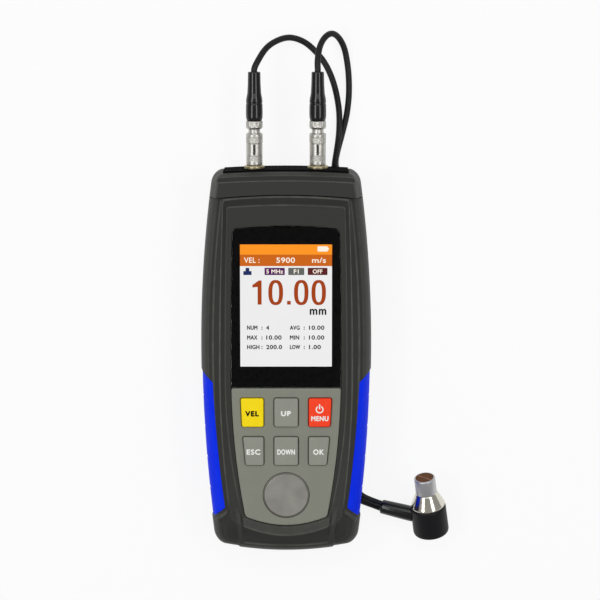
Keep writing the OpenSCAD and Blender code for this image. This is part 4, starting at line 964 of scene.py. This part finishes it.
# Lower and upper edge of the words on the upper and on the lower row of keys.
UPPER_WORDS, LOWER_WORDS = (-21.4, -19.1), (-37.2, -34.9)
POWER_AT, POWER_OUT, POWER_IN = (13.5, -18.5), 1.6, 1.1
arc = np.radians(60 - 300 * np.linspace(0, 1, 40))
arc = np.c_[np.cos(arc), np.sin(arc)]
power_ring = np.vstack([POWER_OUT * arc, POWER_IN * arc]) + POWER_AT
power_mark = (np.c_[power_ring, np.full(len(power_ring), INK_Z)], [grid_faces(2, len(arc))])
power_stroke = patch(13.23, 13.77, -18.4, -16.3, INK_Z, 0.2)
legends = {
    "key_velocity": (-1, 0, "key_yellow", ink_black, [lettering("VEL", -16.5, -10.9, *UPPER_WORDS, INK_Z, 0.17)]),
    "key_up": (0, 0, "key_grey", ink_white, [lettering("UP", -2.1, 2.0, -21.3, -19.1, INK_Z, 0.16)]),
    "key_menu": (1, 0, "key_red", ink_white,
                 [power_mark, power_stroke, lettering("MENU", 10.1, 17.1, -23.3, -21.2, INK_Z, 0.11)]),
    "key_escape": (-1, 1, "key_grey", ink_white, [lettering("ESC", -16.0, -10.4, *LOWER_WORDS, INK_Z, 0.13)]),
    "key_down": (0, 1, "key_grey", ink_white, [lettering("DOWN", -3.6, 3.6, *LOWER_WORDS, INK_Z, 0.11)]),
    "key_ok": (1, 1, "key_grey", ink_white, [lettering("OK", 10.9, 15.3, *LOWER_WORDS, INK_Z, 0.13)])}
for key, (column, row, slot, ink, shapes) in legends.items():
    name = key + "_rubber"
    piece(name, closed_mesh(name, *key_solid(column, row)), KEY_FINISHES[slot], key, [key])
    flat_piece(key + "_print", ink, key, slot, *shapes)
print("keys:", len(legends))

# %% [markdown]
# ## Turned metal
# The zero block, the sockets, the plugs and the probe shell are turned on a lathe. Cylinders could be stacked
# for them, but each step would need its own edges. A turned piece is therefore one profile of radius and
# height, softened at its corners and swung round an axis. A knurl is a small wave in the radius.

# %% Turned pieces
def soften(profile, radius, steps=4):
    """The profile of radius and height with each corner replaced by a turn."""
    p = np.array(profile, float)
    a, b = cut_back(p[1:-1], p[:-2] - p[1:-1], p[2:] - p[1:-1], radius)
    t = np.linspace(0, 1, steps)[None, :, None]
    curve = turn(a[:, None], p[1:-1, None], b[:, None], t)
    return np.vstack([p[:1], curve.reshape(-1, 2), p[-1:]])


def divided(profile, longest):
    """The profile with extra points, so that no step is longer than longest."""
    out = [profile[:1]]
    for p, q in zip(profile[:-1], profile[1:]):
        count = max(1, int(np.ceil(np.linalg.norm(q - p) / longest)))
        out.append(p + (q - p) * (np.arange(1, count + 1) / count)[:, None])
    return np.vstack(out)


def turned(profile, base, axis, sides, wave=None):
    """Points base + h * axis + r (cos a * u + sin a * v), with r lessened by wave(r, h, a) where there is one.
    A profile that starts off the axis is a closed loop."""
    axis = unit(np.array(axis, float))
    u = unit(np.cross(axis, [0.0, 0.0, 1.0]) if abs(axis[2]) < 0.9 else np.array([1.0, 0, 0]))
    v = np.cross(u, axis)
    a = np.linspace(0, 2 * np.pi, sides, endpoint=False)[None, :]
    r, h = profile[:, :1] + 0 * a, profile[:, 1:] + 0 * a
    if wave:
        r = np.maximum(r - wave(r, h, a), 0)
    out = np.cos(a)[..., None] * u + np.sin(a)[..., None] * v
    rows = np.array(base) + h[..., None] * axis + r[..., None] * out
    loop = bool(profile[0, 0] > 0)
    return rows.reshape(-1, 3), [grid_faces(len(profile), sides, wrap_rows=loop, wrap_columns=True)]


def turned_piece(name, solid, made, body, replaced):
    """Show a turned solid as a piece, with edges over 40 degrees kept sharp."""
    return piece(name, closed_mesh(name, *solid), made, body, replaced, sharp=40)


# %% [markdown]
# Five metals show: nickel and gold plating, two finishes of stainless steel, and the blasted face of the zero
# block. All keep the metal's own colour and differ mainly in roughness, so the same shader serves them with
# a different grain.

# %% Metals and the zero block
# Satin nickel over brass, with fine rings left by the lathe, a little warm.
nickel = grained("nickel_plate", "#cac8c2", 0.42, 0.12, 0.006, spread=0.1, tone="#bab8b1",
                 stretch=(0.2, 1, 0.2), Metallic=1.0)
# Pale gold flash on the socket flange.
gold = grained("gold_plate", "#c2b794", 0.42, 0.2, 0.004, spread=0.1, Metallic=1.0)
# Polished stainless steel of the probe's cone, and the same steel finely ground on its tip.
steel = grained("polished_stainless_steel", "#d8d4c8", 0.14, 0.3, 0.002, spread=0.06, Metallic=1.0)
ground_tip = grained("ground_stainless_steel", "#c6c6c8", 0.45, 0.15, 0.004, spread=0.1, Metallic=1.0)
# Bead-blasted carbon steel of the zero block, clouded by oil and handling.
blasted = grained("blasted_carbon_steel", "#b3b1aa", 0.55, 0.5, 0.05, spread=0.14, tone="#8d8b84", Metallic=1.0)

block = soften([(0, 25.1), (9.4, 25.1), (9.4, 28.3), (8.6, 29.1), (8.3, 29.1), (0, 29.1)], 0.12)
turned_piece("zero_block_steel", turned(block, (0, BLOCK_Y, 0), (0, 0, 1), 128), blasted, "case",
             ["zero_block"])
print("zero block rows:", len(block))

# %% [markdown]
# A plug is a core, a sleeve that slides back to free it, a collet that clamps the lead, and a rubber boot.
# The sleeve has two knurled bands and a narrow slot between them. A bump in the material could stand for the
# knurl, but its outline would stay smooth, so the wave is in the mesh.

# %% Knurls and profiles
SOCKET_FACE, PLUG_Z, PLUG_X = 78.8, 16.0, 12.7
# Where sleeve, collet and boot start, from the socket's face.
SLEEVE_AT, COLLET_AT, BOOT_AT = 0.2, 14.7, 17.9
# The slot faces up; half its width is given as an angle in radians, with a soft edge.
SLOT_TURN, SLOT_HALF, SLOT_EDGE, SLOT_DEPTH = np.pi / 2, 0.1, 0.14, 0.7
KNURL_TEETH, KNURL_DEPTH, KNURL_PITCH = 30, 0.13, 9


def between(h, low, high, soft=0.2):
    """1 between low and high, with a soft ramp at each end."""
    return ramp(h, low, low + soft) * (1 - ramp(h, high - soft, high))


def sleeve_wave(r, h, a):
    """A diamond knurl in two bands of the outer face, the mean of two crossing waves, and the slot."""
    band = between(h, 1.5, 3.9) + between(h, 8.9, 11.3)
    crossing = np.cos(KNURL_TEETH * a + KNURL_PITCH * h) + np.cos(KNURL_TEETH * a - KNURL_PITCH * h)
    knurl = KNURL_DEPTH * band * (0.5 + 0.25 * crossing)
    away = np.abs((a - SLOT_TURN + np.pi) % (2 * np.pi) - np.pi)
    slot = SLOT_DEPTH * (1 - ramp(away, SLOT_HALF, SLOT_EDGE)) * between(h, 4.2, 8.4)
    return np.where(r > 2.9, knurl + slot, 0)


def collet_wave(r, h, a):
    """Fine straight knurl round the outer face of the collet."""
    return np.where(r > 3.0, 0.1 * (0.5 + 0.5 * np.cos(KNURL_TEETH * a)) * ramp(h, 0.9, 1.2), 0)


socket = soften([(2.5, 0), (3.9, 0), (4.1, -0.2), (4.1, -1.3), (3, -1.3), (3, -13), (1.6, -13), (1.6, -15.5),
                 (0, -15.5), (0, -8.5), (2.5, -8.5)], 0.15)
sleeve = divided(soften([(2.47, 0), (3.1, 0), (3.25, 0.3), (3.25, 8.5), (3.1, 8.6), (3.1, 8.75), (3.35, 8.85),
                         (3.35, 12.2), (3.1, 12.8), (2.47, 12.8)], 0.08), 0.12)
collet = divided(soften([(1.82, 0), (2.9, 0), (3.35, 0.6), (3.35, 3.0), (3.2, 3.2), (1.82, 3.2)], 0.12), 0.2)
boot = soften([(0, 19.6), (2.5, 19.6), (2.6, 14.7), (2.8, 10.98), (3.2, 9.02), (3.35, 7.64), (3.16, 7.06),
               (3.35, 6.47), (3.4, 3.5), (3.35, 1.4), (3.0, 0), (1.82, 0), (1.82, 4.2), (0, 4.2)], 0.5, 7)
core = soften([(0, -7.7), (2.2, -7.7), (2.35, -7.4), (2.35, 14.6), (1.7, 14.65), (1.7, 21.9), (0, 21.9)], 0.1)
print("sleeve rows:", len(sleeve))

# %% [markdown]
# Both plugs are the same, so one table of pieces is turned twice: profile, distance from the socket's face,
# number of sides, wave, finish, body and slot. Only the sleeve rides on a body of its own.

# %% Sockets and plugs
# Painted shade: a dark sheet on the floor of the slot stands for the shadow in it.
slot_shade = grained("painted_slot_shade", "#3e3d3f", 0.6, 0.2, 0.004)
FLOOR_RISE, FLOOR_W, FLOOR_RUN = 2.58, 0.29, (4.5, 8.5)
along = np.array([0.0, 1, 0])
for side, x in (("left", -PLUG_X), ("right", PLUG_X)):
    at, slider = np.array([x, SOCKET_FACE, PLUG_Z]), f"plug_sleeve_{side}"
    for node, kind, profile, start, sides, wave, made, body, slot in (
            ("socket", "turned", socket, 0, 96, None, gold, "case", "socket_brass"),
            ("plug_core", "turned", core, 0, 64, None, nickel, "case", "plug_nickel"),
            ("plug_sleeve", "turned", sleeve, SLEEVE_AT, 192, sleeve_wave, nickel, slider, "plug_nickel"),
            ("plug_collet", "turned", collet, COLLET_AT, 180, collet_wave, nickel, "case", "plug_nickel"),
            ("plug_boot", "rubber", boot, BOOT_AT, 96, None, boot_rubber, "case", "boot_rubber")):
        turned_piece(f"{node}_{side}_{kind}", turned(profile, at + start * along, along, sides, wave), made,
                     body, [f"{node}_{side}"])
    # The dark sheet in each slot is painted shade, riding on the sleeve.
    flat_piece(f"plug_slot_{side}_floor", slot_shade, slider, "plug_nickel",
               patch(x - FLOOR_W, x + FLOOR_W, SOCKET_FACE + FLOOR_RUN[0], SOCKET_FACE + FLOOR_RUN[1],
                     PLUG_Z + FLOOR_RISE))
print("plug reaches", BOOT_AT + boot[:, 1].max(), "mm past its socket")

# %% [markdown]
# ## Probe
# The probe stands on its rubber cap, held at a slant by the strain relief. Its steel shell narrows in a cone
# to the tip, where two resin delay blocks lie side by side with a cork barrier between them. The blocks keep
# the shape of their solids, since they show only a flat ground face.

# %% Probe
PROBE_BASE = np.array([60.3, -75.0, 6.828])
PROBE_AXIS = np.array([-0.13309, 0.94700, 0.29237])
RELIEF_AXIS, RELIEF_UP = np.array([-0.95798, 0.18621, -0.21814]), 6.5
neck = soften([(0, 6.8), (3.2, 6.8), (3.2, 10.8), (2.95, 20.4), (2.45, 20.9), (0, 20.9)], 0.5)
cap = soften([(0, 0), (6.6, 0), (7.15, 0.35), (7.4, 1.2), (7.3, 12.2), (6.9, 13), (5.7, 13), (5.7, 4),
              (0, 4)], 0.9, 6)
shell = soften([(0, 4.2), (5.6, 4.2), (5.6, 13.1), (7, 13.1), (7.1, 13.6), (4.75, 18.6), (4.35, 19.2),
                (3.75, 19.2), (3.75, 16.4), (0, 16.4)], 0.2)
tip = soften([(3.75, 19.2), (4.35, 19.2), (4.35, 25.9), (4.1, 26.2), (3.75, 26.2)], 0.1)
relief_foot = PROBE_BASE + RELIEF_UP * PROBE_AXIS
probe_pieces = [
    turned_piece(name, turned(profile, base, axis, sides), made, "case", [node])
    for name, profile, base, axis, sides, made, slot, node in (
        ("probe_relief_rubber", neck, relief_foot, RELIEF_AXIS, 96, boot_rubber, "boot_rubber", "probe_relief"),
        ("probe_cap_rubber", cap, PROBE_BASE, PROBE_AXIS, 128, cap_rubber, "probe_rubber", "probe_cap"),
        ("probe_shell_steel", shell, PROBE_BASE, PROBE_AXIS, 160, steel, "probe_steel", "probe_shell"),
        ("probe_tip_steel", tip, PROBE_BASE, PROBE_AXIS, 160, ground_tip, "probe_steel", "probe_shell"))]
probe_pieces += [nodes["delay_blocks"], nodes["sound_barrier"]]
# Cast epoxy of the delay blocks: brown, slightly clouded, polished flat with the shell.
dress("delay_blocks", grained("cast_resin_brown", "#56300f", 0.4, 0.9, 0.006, tone="#6d421c",
                              Specular_IOR_Level=0.1))
# Cork and rubber sheet of the sound barrier: lighter, with coarse grains.
dress("sound_barrier", grained("cork_sheet", "#9a6a4c", 0.8, 0.35, 0.05, tone="#b07f60"))
print("probe pieces:", len(probe_pieces))

# %% [markdown]
# ## Leads
# The two leads leave the plugs, drop to the table and run together under the edge of the case to the strain
# relief of the probe. They follow the same points as the solids. A curve object with a round bevel would do,
# but its handles would decide the bends. Here a smooth curve through the points is evened out along its
# length and carries a circle, so the tube bends as a thin cable does.

# %% Routes of the leads
LEAD_D, LEAD_SIDES, LEAD_STEP, LEAD_BLUR = 2.5, 20, 0.6, 2.0
# How far a lead runs on into the strain relief.
LEAD_TAIL = 0.9
left_route = np.array([
    (-12.7, 116.3, 16), (-12.7, 117.3, 16), (-12.1, 119, 15.7), (-11, 121, 14.8), (-9.7, 123.2, 13.2),
    (-7.9, 125.6, 11.4), (-4.6, 127.9, 8.8), (1.1, 129.6, 5.2), (7, 127.8, 2.5), (10.6, 125, 1.6),
    (14.9, 120.2, 1.3), (17.6, 115.3, 1.3), (19.4, 110.5, 1.3), (20.6, 105.6, 1.3), (21.4, 100.8, 1.4),
    (21.6, 98.3, 1.8), (21.65, 96, 2.6), (21.6, 93.6, 3.3), (21.5, 91.2, 3.7), (21.3, 88.8, 3.9),
    (20.6, 83.9, 3.95), (19.8, 79, 3.95), (19.5, 76.5, 3.8), (19.5, 74.2, 3.4), (19.9, 71.8, 2.9),
    (20.8, 69, 2), (22, 66, 1.4), (24, 59.5, 1.3), (25.6, 52.5, 1.3), (26.6, 45, 1.3), (27.2, 37, 1.3),
    (27.5, 29, 1.3), (27.6, 20, 1.3), (27.6, 10, 1.3), (27.6, 0, 1.3), (27.4, -10, 1.3), (27.1, -19, 1.3),
    (26.7, -28, 1.3), (26.2, -36.5, 1.3), (25.7, -44.5, 1.3), (25.4, -52, 1.3), (25.7, -57, 1.3),
    (27.1, -60.5, 1.3), (29.2, -62.5, 1.3), (31.4, -63.4, 1.4), (34.7, -64.5, 1.95), (36.4, -65, 2.5),
    (38.95, -65.8, 3.3)])
right_route = np.array([
    (12.7, 116.3, 16), (12.7, 117.3, 16), (12.6, 120.5, 15.4), (12.9, 123.2, 14.3), (13.3, 125.6, 13),
    (14.2, 127.9, 11.5), (15.9, 130.2, 9.8), (18.3, 131.6, 7.8), (20.8, 130, 5.4), (22.5, 127.5, 3.6),
    (23.6, 125.1, 2.5), (24.5, 120.8, 1.6), (25.2, 116, 1.3), (25.5, 111, 1.3), (25.5, 106, 1.3),
    (25.1, 101.5, 1.3), (24.65, 98.3, 1.3), (24.2, 95.9, 1.3), (23.55, 93.4, 1.3), (22.95, 91, 1.3),
    (22.3, 88.5, 1.3), (21, 83.6, 1.3), (19.95, 78.7, 1.3), (20.4, 75.5, 1.3), (21.8, 73, 1.3),
    (23.1, 70.4, 1.3), (24.8, 66.6, 1.3), (26.8, 60.2, 1.3), (28.4, 53, 1.3), (29.4, 45.3, 1.3),
    (30, 37.1, 1.3), (30.3, 29, 1.3), (30.4, 20, 1.3), (30.4, 10, 1.3), (30.4, 0, 1.3), (30.2, -10, 1.3),
    (29.9, -19, 1.3), (29.5, -27.9, 1.3), (29, -36.3, 1.3), (28.5, -44, 1.3), (28.1, -51.5, 1.3),
    (28.3, -56.3, 1.4), (29.3, -58.9, 1.8), (30.6, -60.4, 2.3), (32.1, -61.3, 2.85), (35.4, -62.5, 3.45),
    (37, -63, 3.95), (39.1, -63.58, 4.75)])
print("route points:", len(left_route), len(right_route))


# %% Leads
def tube(path, radius, sides):
    """A circle carried along the path: centre + radius (cos a * across + sin a * up), closed at both ends."""
    t = unit(np.gradient(path, axis=0))
    across = unit(np.cross([0, 0, 1.0], t))
    up = np.cross(t, across)
    a = np.linspace(0, 2 * np.pi, sides, endpoint=False)
    out = np.cos(a)[None, :, None] * across[:, None] + np.sin(a)[None, :, None] * up[:, None]
    return capped(path[:, None] + radius * out)


def evened(path, step, blur):
    """The path with points step apart, each the mean of its neighbours weighted by
    exp(-(distance / blur)^2 / 2). The blur shrinks to nothing at both ends, which stay where they are."""
    run = np.concatenate([[0], np.cumsum(np.linalg.norm(np.diff(path, axis=0), axis=1))])
    at = np.linspace(0, run[-1], int(run[-1] / step))
    even = np.stack([np.interp(at, run, path[:, k]) for k in range(3)], -1)
    reach = np.clip(np.minimum(at, run[-1] - at) / 3, 1e-6, blur)
    share = np.exp(-((at[:, None] - at[None]) / reach[:, None]) ** 2 / 2)
    return (share / share.sum(1, keepdims=True)) @ even


def make_lead(name, route):
    path = evened(smooth_path(route, 8), LEAD_STEP, LEAD_BLUR)
    path = np.vstack([path, path[-1] + LEAD_TAIL * unit(path[-1] - path[-2])])
    mesh = closed_mesh(name, *tube(path, LEAD_D / 2, LEAD_SIDES))
    lead = piece(name, mesh, pvc_jacket, "case", [name.replace("_jacket", "")])


make_lead("lead_left_jacket", left_route)
make_lead("lead_right_jacket", right_route)

# %% [markdown]
# ## The remaining solids
# What is left keeps the shape of its solid and gets a finish only. Most of it lies inside the case and
# shows when the battery door is open, so finer surfaces would hardly be seen.

# %% Finishes of the remaining solids
# Black foam-backed strip under the sockets: dull, with hardly any sheen at a low angle.
foam = grained("foam_strip_black", "#0b0b0c", 0.85, 0.45, 0.03, Specular_IOR_Level=0.02)
# The door is moulded in the same charcoal as the case.
door_abs = moulded_abs("moulded_abs_door", CHARCOAL, HIGHLIGHT_COLOUR)
# Green solder resist over glass cloth, and the gold flash on its contacts.
laminate = grained("fibreglass_laminate_green", "#1f4a2c", 0.45, 0.8, 0.01, tone="#275a36")
contact_gold = grained("gold_flash_contacts", "#cfa750", 0.3, 0.2, 0.004, Metallic=1.0)
# Bright zinc on screws, springs, battery contacts and nuts.
zinc = grained("zinc_plated_steel", "#b4b6b8", 0.3, 0.2, 0.006, tone="#9fa1a4", Metallic=1.0)
# Shrunk film round the cells, printed grey.
cell_film = grained("printed_film_grey", "#5d6266", 0.3, 0.5, 0.004, tone="#666b70")
remaining = {"end_plate": foam, "battery_door": door_abs, "main_board": laminate, "key_contacts": contact_gold,
             "board_screws": zinc, "case_screws": zinc, "battery_springs": zinc, "battery_plates": zinc,
             "socket_nuts": zinc, "cell_left": cell_film, "cell_right": cell_film}
for name, made in remaining.items():
    dress(name, made)
print("dressed solids:", len(remaining))
